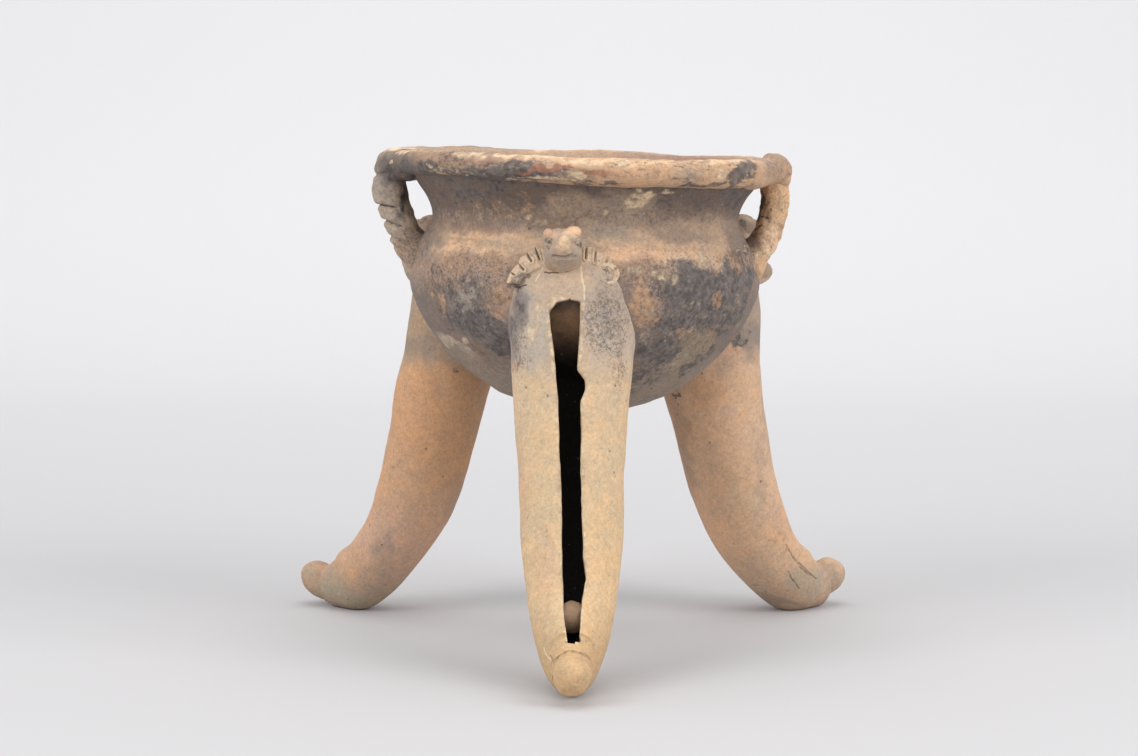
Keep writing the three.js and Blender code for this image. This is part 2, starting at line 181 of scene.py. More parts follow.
# Pinches: height, depth, half width, slope to the side, and depth of the crease in the pinch
LEFT_HANDLE_PINCHES = [
    [234.4, 1.4, 1.5, 0.1, 0.2], [217.6, 1.2, 1.5, -0.07, 1.0], [208.7, 1.5, 1.5, -0.22, 1.0],
    [200.2, 1.5, 1.3, -0.3, 0.3], [195, 0.9, 1.2, -0.4, 0.2], [188.6, 0.6, 1.2, -0.4, 0],
]
RIGHT_HANDLE = [
    [86.5, 234, 13, 5.8], [91.5, 235.3, 15.5, 7], [97, 235.9, 15.5, 7.2], [102.4, 236.2, 13.5, 7.2],
    [102.5, 232.2, 11, 7.2], [101.6, 228.4, 9.6, 7.2], [101.9, 220, 8.8, 7.1], [100.6, 211.5, 8.6, 7],
    [98.4, 204, 9.5, 7], [95.4, 197.5, 11.5, 6.4], [92, 191, 11.5, 5.4], [89, 185.5, 8.5, 4],
]
RIGHT_HANDLE_PINCHES = [[230, 0.2, 1.2, -0.5, 0.3], [222, 0.3, 3, 0.2, 0]]
CREASE_HALF_WIDTH = 0.5
HANDLE_AROUND = 88
HANDLE_STEP = 0.34
# The pinches fade round to the inner side, and toward the lip between these heights
PINCHES_FADE_ROUND = (-0.75, 0.2)
PINCHES_FADE_UP = (240, 236)
# The lip's section: its middle, as radius and height, and its half thickness
LIP_MIDDLE = (87.0, 237.2)
LIP_HALF = 7.0

# Animal figure over each leg, placed from the bowl's own axis
HEAD_SIDE = -1.0
HEAD_OUT = 92
HEAD_HEIGHT = 201.6
HEAD_SIZE = (9, 9, 9.4)
HEAD_CORNERS = 0.32
# Dents in a head (swellings where the depth is below 0): place from its middle, half sizes, depth
HEAD_DENTS = [
    [(8.2, -5.6, 3.4), (2.6, 1.9, 1.5), 1.5],
    [(8.2, 5.6, 3.4), (2.6, 1.9, 1.5), 1.5],
    [(8.6, -5, 6.2), (2.6, 2.4, 1.2), -0.5],
    [(8.6, 5, 6.2), (2.6, 2.4, 1.2), -0.5],
    [(10.4, 1.2, 1.4), (4, 4.2, 3.6), -0.7],
]
MOUTH_DEPTH = 0.9
MOUTH_HALF_HEIGHT = 0.55
MOUTH_HALF_WIDTH = 5.4
CHIN_BLEND = 9.0
CHIN_SPREAD = 3.4
CHIN_BACK = 2.2
JAW_WIDER = 0.12
EAR_OUT = 94.4
SNOUT_AT = (101.2, 1.0, 205)
SNOUT_SIZE = (4, 2.9, 3.7)
ARM_CENTRE = (11, 184.6)
ARM_INNER_RADIUS = 3.0
ARM_FROM = 64
ARM_TO = 178
ARM_HEIGHT = 1.9
ARM_SINK = 0.9
# By side: how far the fan reaches at some angles, and its notches from outer to inner end (angle, radius)
ARM_EDGES = {
    -1: [(64, 15), (82, 16.6), (97, 17.3), (115, 15.6), (137, 15), (154, 15.3), (178, 16.2)],
    1: [
        (64, 15.6), (82, 17.4), (96, 17.6), (117, 16), (133, 16.4), (158, 16.8), (170, 14.6), (178, 12.6),
    ],
}
ARM_NOTCHES = {
    -1: [
        ((100, 18), (93.5, 12)), ((115, 16.2), (112.3, 12)), ((137, 15.6), (139.3, 11)),
        ((158, 16), (160, 13.4)),
    ],
    1: [
        ((87, 18), (84.5, 12.6)), ((102, 17.4), (105, 11.8)), ((122.8, 17), (128, 13.6)),
        ((148, 17.6), (150, 14.6)),
    ],
}
ARM_EDGE_ROUND = 2.2
ARM_THICKNESS = 4.0
NOTCH_HALF_WIDTH = 0.38
NOTCH_DEPTH = 1.5
# The clay pushed up beside each notch
NOTCH_LIP_HEIGHT = 0.3
NOTCH_LIP_AT = 1.1
NOTCH_LIP_HALF_WIDTH = 0.45
# An arm's mesh: columns round the fan, rows from its middle out, and more rows over the share at its edge
ARM_COLUMNS = 220
ARM_ROWS = 34
ARM_EDGE_ROWS = 10
ARM_EDGE_SHARE = 0.16

# From how far off a piece swells where it meets another, and by how much
LEG_FLARE = (4.5, 0.8)
HEAD_FLARE = (5, 2.2)
HANDLE_FLARE = (8, 3.2)
HANDLE_FLARE_BELOW = 215
LIP_FLARE = (7, 0.6)
# How far pieces reach into the vessel's wall
LEG_SINK = 2.2
HOLLOW_SINK = 0.9
HANDLE_SINK = 2.4
FIGURE_SINK = 2.5
ARM_WALL_SINK = 2.0
# The sole is worn flat: clay that reaches this far under or over the floor is rounded off to it
SOLE_WEAR = 1.0
# A foot takes this share of the leg's unevenness, which grows to all of it over these heights
FOOT_SMOOTHNESS_ENDS = (30, 70)
FOOT_UNEVENNESS = 0.35


def smoothstep(low, high, value):
    t = np.clip((value - low) / (high - low), 0.0, 1.0)
    return t * t * (3 - 2 * t)


def waves(points, seed, size, count=22):
    """Smooth lumps about that many millimetres long, mostly between -1 and 1, at each point."""
    rng = np.random.default_rng(seed)
    directions = rng.normal(size=(count, 3))
    directions /= np.linalg.norm(directions, axis=1)[:, None]
    lengths = size * rng.uniform(0.6, 1.7, count)
    phases = rng.uniform(0, 2 * math.pi, count)
    swing = points @ (directions * (2 * math.pi / lengths)[:, None]).T + phases
    return np.cos(swing).sum(axis=1) * math.sqrt(1.0 / count)


def through(stations, count, mirrored_start=False):
    """Points along a smooth line through the stations."""
    given = np.array(stations, float)
    before = given[1] * [-1, 1] if mirrored_start else 2 * given[0] - given[1]
    line = np.vstack([before, given, 2 * given[-1] - given[-2]])
    t = np.linspace(0, len(given) - 1, count)
    i = np.minimum(t.astype(int), len(given) - 2)
    f = (t - i)[:, None]
    a, b, c, d = line[i], line[i + 1], line[i + 2], line[i + 3]
    return 0.5 * (2 * b + (c - a) * f + (2 * a - 5 * b + 4 * c - d) * f**2 + (3 * b - a - 3 * c + d) * f**3)


def spaced(line, step):
    """The same line with its points about one step apart."""
    lengths = np.linalg.norm(np.diff(line[:, :2], axis=0), axis=1)
    along = np.concatenate([[0], np.cumsum(lengths)])
    wanted = np.linspace(0, along[-1], max(int(round(along[-1] / step)), 2) + 1)
    return np.stack([np.interp(wanted, along, line[:, k]) for k in range(line.shape[1])], axis=1)


def unit(vectors):
    return vectors / np.maximum(np.linalg.norm(vectors, axis=-1), 1e-9)[..., None]


def right_of(line):
    """Unit vectors square to a flat line, to the right of its direction."""
    along = unit(np.gradient(line, axis=0))
    return np.stack([along[:, 1], -along[:, 0]], axis=1)


def seated(points):
    """Sets points made round the Z axis onto the bowl's own leaning axis."""
    x, y, z = points[..., 0], points[..., 1], points[..., 2] - TILT_HEIGHT
    return np.stack([
        x * math.cos(BOWL_TILT) + z * math.sin(BOWL_TILT) + BOWL_X, y,
        -x * math.sin(BOWL_TILT) + z * math.cos(BOWL_TILT) + TILT_HEIGHT,
    ], axis=-1)


def unseated(points):
    x, y, z = points[..., 0] - BOWL_X, points[..., 1], points[..., 2] - TILT_HEIGHT
    return np.stack([
        x * math.cos(BOWL_TILT) - z * math.sin(BOWL_TILT), y,
        x * math.sin(BOWL_TILT) + z * math.cos(BOWL_TILT) + TILT_HEIGHT,
    ], axis=-1)


def pixels(points):
    """Where the photograph's camera sees points of the vessel, in its pixels."""
    from_camera = points + LEG_AXIS_AT - CAMERA_AT
    sine, cosine = math.sin(CAMERA_PITCH), math.cos(CAMERA_PITCH)
    depth = from_camera[:, 1] * cosine - from_camera[:, 2] * sine
    height = from_camera[:, 1] * sine + from_camera[:, 2] * cosine
    return np.stack([
        IMAGE_WIDTH / 2 + FOCAL_PIXELS * from_camera[:, 0] / depth,
        IMAGE_HEIGHT / 2 - FOCAL_PIXELS * height / depth,
    ], axis=1)


OUTSIDE = spaced(through(VESSEL_PROFILE, 900, mirrored_start=True), 1.0)
OUTSIDE_NORMALS = right_of(OUTSIDE)


def over_skin(points):
    """How far points stand outside the bowl and neck, and the nearest place there with its normal."""
    local = unseated(points)
    radius = np.hypot(local[:, 0], local[:, 1])
    flat = np.stack([radius, local[:, 2]], axis=1)
    nearest = np.empty(len(flat), int)
    for start in range(0, len(flat), 4000):
        part = flat[start:start + 4000]
        apart = ((part[:, None, :] - OUTSIDE[None, :, :]) ** 2).sum(axis=2)
        nearest[start:start + 4000] = apart.argmin(axis=1)
    normal = OUTSIDE_NORMALS[nearest]
    height = ((flat - OUTSIDE[nearest]) * normal).sum(axis=1)
    foot = flat - height[:, None] * normal
    turn = local[:, :2] / np.maximum(radius, 1e-6)[:, None]
    place = seated(np.column_stack([turn * foot[:, :1], foot[:, 1]]))
    upward = seated(np.column_stack([turn * (foot + normal)[:, :1], (foot + normal)[:, 1]])) - place
    return height, place, upward


def flared(gap, within, most):
    """How far clay swells beside another piece: most where they touch, nothing from that distance on."""
    return np.clip(within - gap, 0, within) ** 2 / within**2 * most


def sunk(points, depth):
    """Points deeper in the vessel's wall than that depth are brought out to it."""
    height, place, upward = over_skin(points)
    deep = height < -depth
    points = points.copy()
    points[deep] = place[deep] - depth * upward[deep]
    return points


def hand_made(points):
    """The unevenness that hand forming leaves, in millimetres along the surface's normal."""
    return 0.5 * waves(points, 11, 60) + 0.2 * waves(points, 12, 17) + 0.07 * waves(points, 13, 6)


def grid_faces(rows, columns, closed=True):
    """Faces of a grid whose rows follow one another and whose columns go round."""
    faces = []
    for row in range(rows - 1):
        for i in range(columns if closed else columns - 1):
            a = row * columns + i
            b = row * columns + (i + 1) % columns
            faces.append((a, b, b + columns, a + columns))
    return faces


def looped_faces(rows, columns):
    """Faces of a grid that closes on itself both ways."""
    count = rows * columns
    return [tuple(corner % count for corner in face) for face in grid_faces(rows + 1, columns)]


def capped_faces(rows, columns):
    """Faces of a round grid closed at both ends by a pole. The two poles follow the grid's own points."""
    faces = grid_faces(rows, columns)
    first_pole = rows * columns
    last_row = (rows - 1) * columns
    for i in range(columns):
        j = (i + 1) % columns
        faces.append((first_pole, j, i))
        faces.append((first_pole + 1, last_row + i, last_row + j))
    return faces


def piece(name, points, faces, node, body="vessel"):
    """A mesh in the row's frame that stands for a CAD node and rides on its body."""
    mesh = bpy.data.meshes.new(name)
    mesh.from_pydata(((points + LEG_AXIS_AT) * MM).tolist(), [], faces)
    mesh.validate()
    mesh.shade_smooth()
    made = bpy.data.objects.new(name, mesh)
    bpy.context.scene.collection.objects.link(made)
    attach(made, body)
    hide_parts(node)
    return made


def points_of(made):
    """The vertices of a piece, back in millimetres round the legs' axis."""
    places = np.empty(len(made.data.vertices) * 3)
    made.data.vertices.foreach_get("co", places)
    return places.reshape(-1, 3) / MM - LEG_AXIS_AT


def normals_of(made):
    normals = np.empty(len(made.data.vertices) * 3)
    made.data.vertex_normals.foreach_get("vector", normals)
    return normals.reshape(-1, 3)


def reshape(made, points):
    made.data.vertices.foreach_set("co", ((points + LEG_AXIS_AT) * MM).ravel())
    made.data.update()


def outward(made):
    """Turns all faces outward."""
    bpy.context.view_layer.objects.active = made
    made.select_set(True)
    bpy.ops.object.mode_set(mode="EDIT")
    bpy.ops.mesh.select_all(action="SELECT")
    bpy.ops.mesh.normals_make_consistent(inside=False)
    bpy.ops.object.mode_set(mode="OBJECT")
    made.select_set(False)


# Bowl, neck and rim

AROUND = 520
RIM_UNEVENNESS = 1.15
RIM_STEP = 0.9
RIM_POINTS_PER_SPAN = 9


def turned(line, unevenness=1.0):
    """A grid turned from a line round the bowl's axis, uneven as by hand. Its rows follow the line."""
    normal = right_of(line)
    angles = np.linspace(0, 2 * math.pi, AROUND, endpoint=False)
    turn = np.stack([np.cos(angles), np.sin(angles)], axis=1)

    def swept(profile):
        flat = turn[None, :, :] * profile[:, None, :1]
        height = np.broadcast_to(profile[:, None, 1:2], flat.shape[:2] + (1,))
        return seated(np.concatenate([flat, height], axis=2)).reshape(-1, 3)

    points = swept(line)
    away = swept(line + normal) - points
    return points + away * (unevenness * hand_made(points))[:, None]


def overlapped(line, past, sign):
    """Sinks the end of a wall's line under its neighbour's, past the joint between them."""
    sink = JOINT_SINK * np.clip(past / JOINT_OVERLAP, 0, None) ** 2
    return line + sign * right_of(line) * sink[:, None]


def wall_lines(low, high, past_sign):
    """The outside and inside of the wall between two heights, each going up."""
    inside = OUTSIDE - WALL * OUTSIDE_NORMALS
    inside[0, 0] = 0
    keep = (OUTSIDE[:, 1] >= low) & (OUTSIDE[:, 1] <= high)
    past = past_sign * (OUTSIDE[keep, 1] - JOINT_HEIGHT)
    outer, inner = overlapped(OUTSIDE[keep], past, -1), overlapped(inside[keep], past, 1)
    thinned = np.unique(np.append(np.arange(0, len(inner), 2), len(inner) - 1))
    return outer, inner[thinned]


def bowl():
    outer, inner = wall_lines(0, JOINT_HEIGHT + JOINT_OVERLAP, 1)
    line = np.vstack([outer[1:], inner[:0:-1]])
    poles = seated(np.array([[0.0, 0, outer[0, 1]], [0.0, 0, inner[0, 1]]]))
    points = np.vstack([turned(line), poles])
    return piece("bowl_shell", points, capped_faces(len(line), AROUND), "bowl")


def neck():
    outer, inner = wall_lines(JOINT_HEIGHT - JOINT_OVERLAP, OUTSIDE[-1, 1], -1)
    line = np.vstack([outer, inner[::-1]])
    return piece("neck_collar", turned(line), looped_faces(len(line), AROUND), "neck")


def rim():
    loop = np.array(RIM_PROFILE + RIM_PROFILE[:3], float)
    dense = through(loop, (len(loop) - 1) * RIM_POINTS_PER_SPAN + 1)
    line = spaced(dense[RIM_POINTS_PER_SPAN:-RIM_POINTS_PER_SPAN], RIM_STEP)[:-1]
    points = turned(line, RIM_UNEVENNESS)
    local = unseated(points)
    angle = np.arctan2(local[:, 1], local[:, 0])
    flow = np.column_stack([np.cos(angle) * LIP_RADIUS, np.sin(angle) * LIP_RADIUS, np.zeros(len(angle))])
    over = smoothstep(*LIP_TOP_BEGINS, local[:, 2])
    points[:, 2] += over * LIP_RISE_WAVER * waves(flow, 31, 60)
    turned_by = np.degrees(angle) % 360
    points[:, 2] += np.interp(turned_by, *zip(*LIP_RISES), period=360)
    points[:, 2] += (1 - over) * np.interp(turned_by, *zip(*LIP_THINNER), period=360)
    spread = LIP_SPREAD_WAVER * waves(flow, 32, 55) * smoothstep(*LIP_WAVER_BEGINS, local[:, 2])
    from_handle = np.minimum(turned_by % 180, 180 - turned_by % 180)
    outer_half = smoothstep(*LIP_OUTER_HALF, np.hypot(local[:, 0], local[:, 1]))
    spread += LIP_AT_HANDLES * np.exp(-(from_handle / LIP_AT_HANDLES_ANGLE) ** 2) * outer_half
    points[:, 0] += spread * np.cos(angle)
    points[:, 1] += spread * np.sin(angle)
    return piece("rim_lip", points, looped_faces(len(line), AROUND), "rim")


# Bent tubes for the legs and handles

SIDEWAYS = np.array([0.0, 1.0, 0.0])
DENSE_STEP = 0.25


def frames(line):
    """Middle, outward direction and tangent at each row of a bent line in the X-Z plane."""
    middle = np.column_stack([line[:, 0], np.zeros(len(line)), line[:, 1]])
    tangent = unit(np.gradient(middle, axis=0))
    return middle, np.cross(tangent, SIDEWAYS), tangent


def at_leg(points, leg):
    """Turns points made in a leg's plane to that leg's place, with the leg's sideways lean."""
    turn = math.radians(leg["azimuth"])
    x = points[:, 0] * math.cos(turn) - points[:, 1] * math.sin(turn)
    y = points[:, 0] * math.sin(turn) + points[:, 1] * math.cos(turn)
    z = points[:, 2]
    x = x + leg["foot_shift"] * (1 - smoothstep(*FOOT_SHIFT_FADES, z))
    x = x + leg["lean"][0] * smoothstep(*LOWER_LEAN_GROWS, z)
    x = x + leg["lean"][1] * smoothstep(*UPPER_LEAN_GROWS, z)
    return np.column_stack([x, y, z])


SKIN_SPAN = 150.0
SLOT_SPACING = [0, 0.35, 0.8, 1.4, 2.1, 2.9, 3.7, 4.6, 5.6, 6.7, 8, 9.4, 11, 12.7, 14.5]


def arc_shares():
    """Shares of the way round a leg's skin, closer together near the slot's edges."""
    near = np.array(SLOT_SPACING)
    middle = np.linspace(16.4, SKIN_SPAN - 16.4, 72)
    return np.concatenate([near, middle, (SKIN_SPAN - near)[::-1]]) / SKIN_SPAN


def rounded(points, inward, distances):
    """Rounds the slot's edge: points closer to it than the rounding go inward."""
    short = np.clip(EDGE_ROUND - distances, 0, EDGE_ROUND)
    return points + inward * (EDGE_ROUND - np.sqrt(EDGE_ROUND**2 - short**2))[:, None]


def leg_rows(leg):
    """Rows along a leg from its top dome to its toe end: middle, outward, tangent, half width, half depth."""
    dense = through(LEG_STATIONS + (FRONT_FOOT if leg["name"] == "front" else REAR_FOOT), 1200)
    dense = spaced(dense, DENSE_STEP)
    fine = (dense[:, 1] > FINE_ROWS_ABOVE) | (dense[:, 0] > FINE_ROWS_BEYOND)
    along = np.concatenate([[0], np.cumsum(DENSE_STEP / np.where(fine, FINE_ROW_STEP, ROW_STEP))])[:-1]
    rows = np.arange(0, int(along[-1]) + 1)
    line = np.stack([np.interp(rows, along, dense[:, k]) for k in range(4)], axis=1)
    middle, out, tangent = frames(line)
    size = line[:, 2:] + leg["girth"]
    dome = np.radians(LEG_DOME_TURNS)

    def domed(end, turns, height):
        """Rows of the dome that closes one end."""
        return (
            middle[end] + np.sin(turns)[:, None] * tangent[end] * height,
            np.tile(out[end], (len(turns), 1)), np.tile(tangent[end], (len(turns), 1)),
            np.cos(turns)[:, None] * size[end],
        )

    parts = (domed(0, dome, -LEG_TOP_DOME), (middle, out, tangent, size), domed(-1, dome[::-1], LEG_END_DOME))
    return [np.vstack(columns) for columns in zip(*parts)]


def slot_edge(leg, side, middle, out, size, seed):
    """The slot edge's sideways place on the outer skin in each row, and where the slot is open."""
    edge = np.array(SLOT_EDGES[leg["slot"]][side])
    half_width, half_depth = size[:, 0], size[:, 1]
    height = middle[:, 2] + out[:, 2] * half_depth
    for _ in range(4):
        place = np.interp(height, edge[:, 1], edge[:, 0])
        cosine = np.sqrt(1 - np.clip(place / half_width, -0.9, 0.9) ** 2)
        height = middle[:, 2] + out[:, 2] * half_depth * cosine
    bottom, top = edge[0, 1], edge[-1, 1]
    in_foot = np.arange(len(height)) > np.argmin(np.abs(height - FOOT_BEGINS))
    opened = (height < top) & ((height > bottom) | ~in_foot)
    rough = waves(np.column_stack([height, height * 0, height * 0]), seed, 9)
    room = np.minimum(top - height, height - bottom)
    return place + SLOT_WAVER * rough * smoothstep(0, SLOT_WAVER_FADES, room), opened


CAVITY_POINTS = 1600
# A row's plane is cut by the hollow's line within this distance of the row
CAVITY_WITHIN = 30


def cavity_sections(middle, tangent):
    """The hollow's middle and half sizes in the planes of a leg's rows, not a number where it has ended."""
    cavity = through(CAVITY_STATIONS, CAVITY_POINTS)
    cavity_middle = np.column_stack([cavity[:, 0], np.zeros(len(cavity)), cavity[:, 1]])
    sections = np.full((len(middle), 4), np.nan)
    for row in range(len(middle)):
        ahead = (cavity_middle - middle[row]) @ tangent[row]
        near = np.linalg.norm(cavity_middle - middle[row], axis=1) < CAVITY_WITHIN
        crossing = np.where((ahead[:-1] <= 0) & (ahead[1:] > 0) & near[:-1])[0]
        if len(crossing):
            at = crossing[0]
            share = -ahead[at] / (ahead[at + 1] - ahead[at])
            sections[row] = cavity[at] * (1 - share) + cavity[at + 1] * share
    return sections


# The slot takes up at most this share of a section's half width, which widens with it past that
SLOT_SHARE = 0.95


def section(centre, out, half_width, half_depth, left, right, shares):
    """One section of a leg from the slot's right edge round the back to its left edge."""
    left_half = max(half_width, abs(left) / SLOT_SHARE)
    right_half = max(half_width, abs(right) / SLOT_SHARE)
    start = math.asin(np.clip(right / right_half, -1, 1))
    stop = math.asin(np.clip(left / left_half, -1, 1)) + 2 * math.pi
    angle = start + (stop - start) * shares
    across = np.where(np.sin(angle) > 0, right_half, left_half) * np.sin(angle)
    return centre + out * (half_depth * np.cos(angle))[:, None] + SIDEWAYS * across[:, None]


SKIN, HOLLOW, SLOT_WALL = 0, 1, 2
FAR = 99.0


class LegShell:
    """A leg's points and faces as they are made, with each point's kind and distance from the slot."""

    def __init__(self):
        self.points, self.faces, self.kinds, self.from_slot = [], [], [], []

    def add(self, new, kind, from_slot=FAR):
        first = len(self.points)
        self.points.extend(new)
        self.kinds += [kind] * len(new)
        self.from_slot += list(np.broadcast_to(from_slot, len(new)))
        return list(range(first, first + len(new)))

    def add_section(self, ring, kind, is_open, from_slot=FAR):
        """Adds a section, which ends at the slot on both sides or closes where there is none."""
        if is_open:
            return self.add(ring, kind, from_slot)
        ring[0] = (ring[0] + ring[-1]) / 2
        ids = self.add(ring[:-1], kind)
        return ids + ids[:1]

    def add_wall(self, skin_id, hollow_id, skin_end, hollow_end):
        """Adds the slot's wall through the clay, between an end of the skin's section and of the hollow's."""
        steps = np.linspace(0, 1, SLOT_WALL_STEPS + 2)[1:-1, None]
        return [skin_id] + self.add(skin_end * (1 - steps) + hollow_end * steps, SLOT_WALL) + [hollow_id]

    def join(self, upper, lower):
        """Faces between two rows of points, where some may be shared."""
        for corners in zip(upper[:-1], upper[1:], lower[1:], lower[:-1]):
            corners = tuple(dict.fromkeys(corners))
            if len(corners) > 2:
                self.faces.append(corners)

    def cap(self, ids):
        """Closes a row with a fan of faces round its middle."""
        loop = ids[:-1] if ids[0] == ids[-1] else ids
        centre = self.add([np.mean([self.points[i] for i in loop], axis=0)], self.kinds[loop[0]])[0]
        for i in range(len(loop)):
            self.faces.append((centre, loop[i], loop[(i + 1) % len(loop)]))

    def finished(self):
        """Points, faces, kinds and distances from the slot, without the points that no face uses."""
        used = np.zeros(len(self.points), bool)
        used[[corner for face in self.faces for corner in face]] = True
        new_id = np.cumsum(used) - 1
        faces = [tuple(int(new_id[corner]) for corner in face) for face in self.faces]
        return np.array(self.points)[used], faces, np.array(self.kinds)[used], np.array(self.from_slot)[used]


# By kind of point: how much of the hollow's painted light and shade it takes, and how uneven the clay is
# there
HOLLOW_SHADE_SHARES = [0.0, 1.0, 0.45]
LEG_UNEVENNESS = [0.8, 0.3, 0.15]

hollow_shade_shares = {}
slot_distances = {}


def leg_piece(leg):
    """A hollow bowed leg: its skin, its hollow, and the walls of the slot between them."""
    middle, out, tangent, size = leg_rows(leg)
    shares = arc_shares()
    distances = np.minimum(shares, 1 - shares) * SKIN_SPAN
    inner = cavity_sections(middle, tangent)
    is_hollow = ~np.isnan(inner[:, 0])
    left, opened = slot_edge(leg, 0, middle, out, size, 41)
    right, _ = slot_edge(leg, 1, middle, out, size, 42)
    opened &= is_hollow & (right - left > SLOT_LEAST)
    seam = np.where(opened, 0, (left + right) / 2)
    left = np.where(opened, left, seam)
    right = np.where(opened, right, seam)

    shell = LegShell()
    skin_ids, hollow_ids, left_walls, right_walls = {}, {}, {}, {}
    for row in range(len(middle)):
        skin = section(middle[row], out[row], *size[row], left[row], right[row], shares)
        if opened[row]:
            skin = rounded(skin, -out[row], distances)
        skin_ids[row] = shell.add_section(skin, SKIN, opened[row], distances)
        if not is_hollow[row]:
            continue
        centre = np.array([inner[row, 0], 0, inner[row, 1]])
        inside = section(centre, out[row], *inner[row, 2:], left[row], right[row], shares)
        hollow_ids[row] = shell.add_section(inside, HOLLOW, opened[row])
        right_walls[row] = shell.add_wall(skin_ids[row][0], hollow_ids[row][0], skin[0], inside[0])
        left_walls[row] = right_walls[row]
        if opened[row]:
            left_walls[row] = shell.add_wall(skin_ids[row][-1], hollow_ids[row][-1], skin[-1], inside[-1])
    for row in range(len(middle) - 1):
        shell.join(skin_ids[row], skin_ids[row + 1])
        if row in hollow_ids and row + 1 in hollow_ids:
            shell.join(hollow_ids[row], hollow_ids[row + 1])
            if opened[row] or opened[row + 1]:
                shell.join(left_walls[row], left_walls[row + 1])
                shell.join(right_walls[row], right_walls[row + 1])
    for ids in (skin_ids, hollow_ids):
        shell.cap(ids[min(ids)])
        shell.cap(ids[max(ids)])

    points, faces, kinds, from_slot = shell.finished()
    points = at_leg(points, leg)
    made = piece(f"leg_{leg['name']}_clay", points, faces, f"leg_{leg['name']}")
    hollow_shade_shares[leg["name"]] = np.choose(kinds, HOLLOW_SHADE_SHARES)
    slot_distances[leg["name"]] = from_slot
    outward(made)
    normals = normals_of(made)
    over, _, _ = over_skin(points)
    on_skin = kinds == SKIN
    above_foot = smoothstep(*FOOT_SMOOTHNESS_ENDS, points[:, 2])
    strength = np.choose(kinds, LEG_UNEVENNESS) * (FOOT_UNEVENNESS + (1 - FOOT_UNEVENNESS) * above_foot)
    swell = flared(over, *LEG_FLARE) * on_skin + hand_made(points) * strength
    points = points + normals * swell[:, None]
    points[on_skin] = sunk(points[on_skin], LEG_SINK)
    points[~on_skin] = sunk(points[~on_skin], HOLLOW_SINK)
    low = points[:, 2]
    worn_flat = np.where(low < -SOLE_WEAR, 0, (low + SOLE_WEAR) ** 2 / (4 * SOLE_WEAR))
    points[:, 2] = np.where(low < SOLE_WEAR, worn_flat, low)
    reshape(made, points)
    return made


def ball(size, rows, columns):
    """A round form of a grid of points: its points, the same on a ball of radius 1, and its faces."""
    lower = np.linspace(-math.pi / 2, math.pi / 2, rows + 2)[1:-1]
    angles = np.linspace(0, 2 * math.pi, columns, endpoint=False)
    tilt, turn = np.meshgrid(lower, angles, indexing="ij")
    points = np.stack([np.cos(tilt) * np.cos(turn), np.cos(tilt) * np.sin(turn), np.sin(tilt)], axis=-1)
    points = np.vstack([points.reshape(-1, 3), [[0, 0, -1.0], [0, 0, 1.0]]])
    return points * np.array(size), points, capped_faces(rows, columns)


def toe_piece(leg):
    """A button at the tip of the foot. The long ones point up and run into the sole."""
    out, height = leg["toe_at"]
    points, round_points, faces = ball(leg["toe_size"], 48, 72)
    lumps = 0.3 * waves(round_points * 10 + leg["azimuth"], 51, 9) + 0.1 * waves(round_points * 10, 52, 3)
    points = points + round_points * np.minimum(lumps, 0.3)[:, None]
    lift = math.radians(leg["toe_lift"])
    turned_x = points[:, 0] * math.cos(lift) - points[:, 2] * math.sin(lift)
    turned_z = points[:, 0] * math.sin(lift) + points[:, 2] * math.cos(lift)
    points = np.column_stack([turned_x + out, points[:, 1], turned_z + height])
    return piece(f"toe_{leg['name']}_clay", at_leg(points, leg), faces, f"toe_{leg['name']}")


def pellet_piece(leg):
    """The loose ball that rattles in a leg's hollow, at rest where the hollow narrows."""
    points, round_points, faces = ball((PELLET_RADIUS,) * 3, 36, 52)
    lumps = 0.3 * waves(round_points * 8 + leg["azimuth"], 61, 7) - 0.25
    points = points + round_points * np.minimum(lumps, 0)[:, None]
    points = at_leg(points + [PELLET_AT[0], 0, PELLET_AT[1]], leg)
    return piece(
        f"pellet_{leg['name']}_clay", points, faces, f"pellet_{leg['name']}", f"{leg['name']}_rattle")


def at_figure(points, leg, out, side, height):
    """Places a shape of a figure: distance out from the bowl's axis, sideways place and height."""
    azimuth = math.radians(leg["azimuth"])
    moved = points + [out + BOWL_X * math.cos(azimuth), side + leg["figure_side"], height]
    x = moved[:, 0] * math.cos(azimuth) - moved[:, 1] * math.sin(azimuth)
    y = moved[:, 0] * math.sin(azimuth) + moved[:, 1] * math.cos(azimuth)
    return np.column_stack([x, y, moved[:, 2]])


def dent(points, at, size, depth):
    """How deep a round dent goes at each point."""
    away = ((points - np.array(at)) / np.array(size)) ** 2
    return depth * np.exp(-away.sum(axis=1))


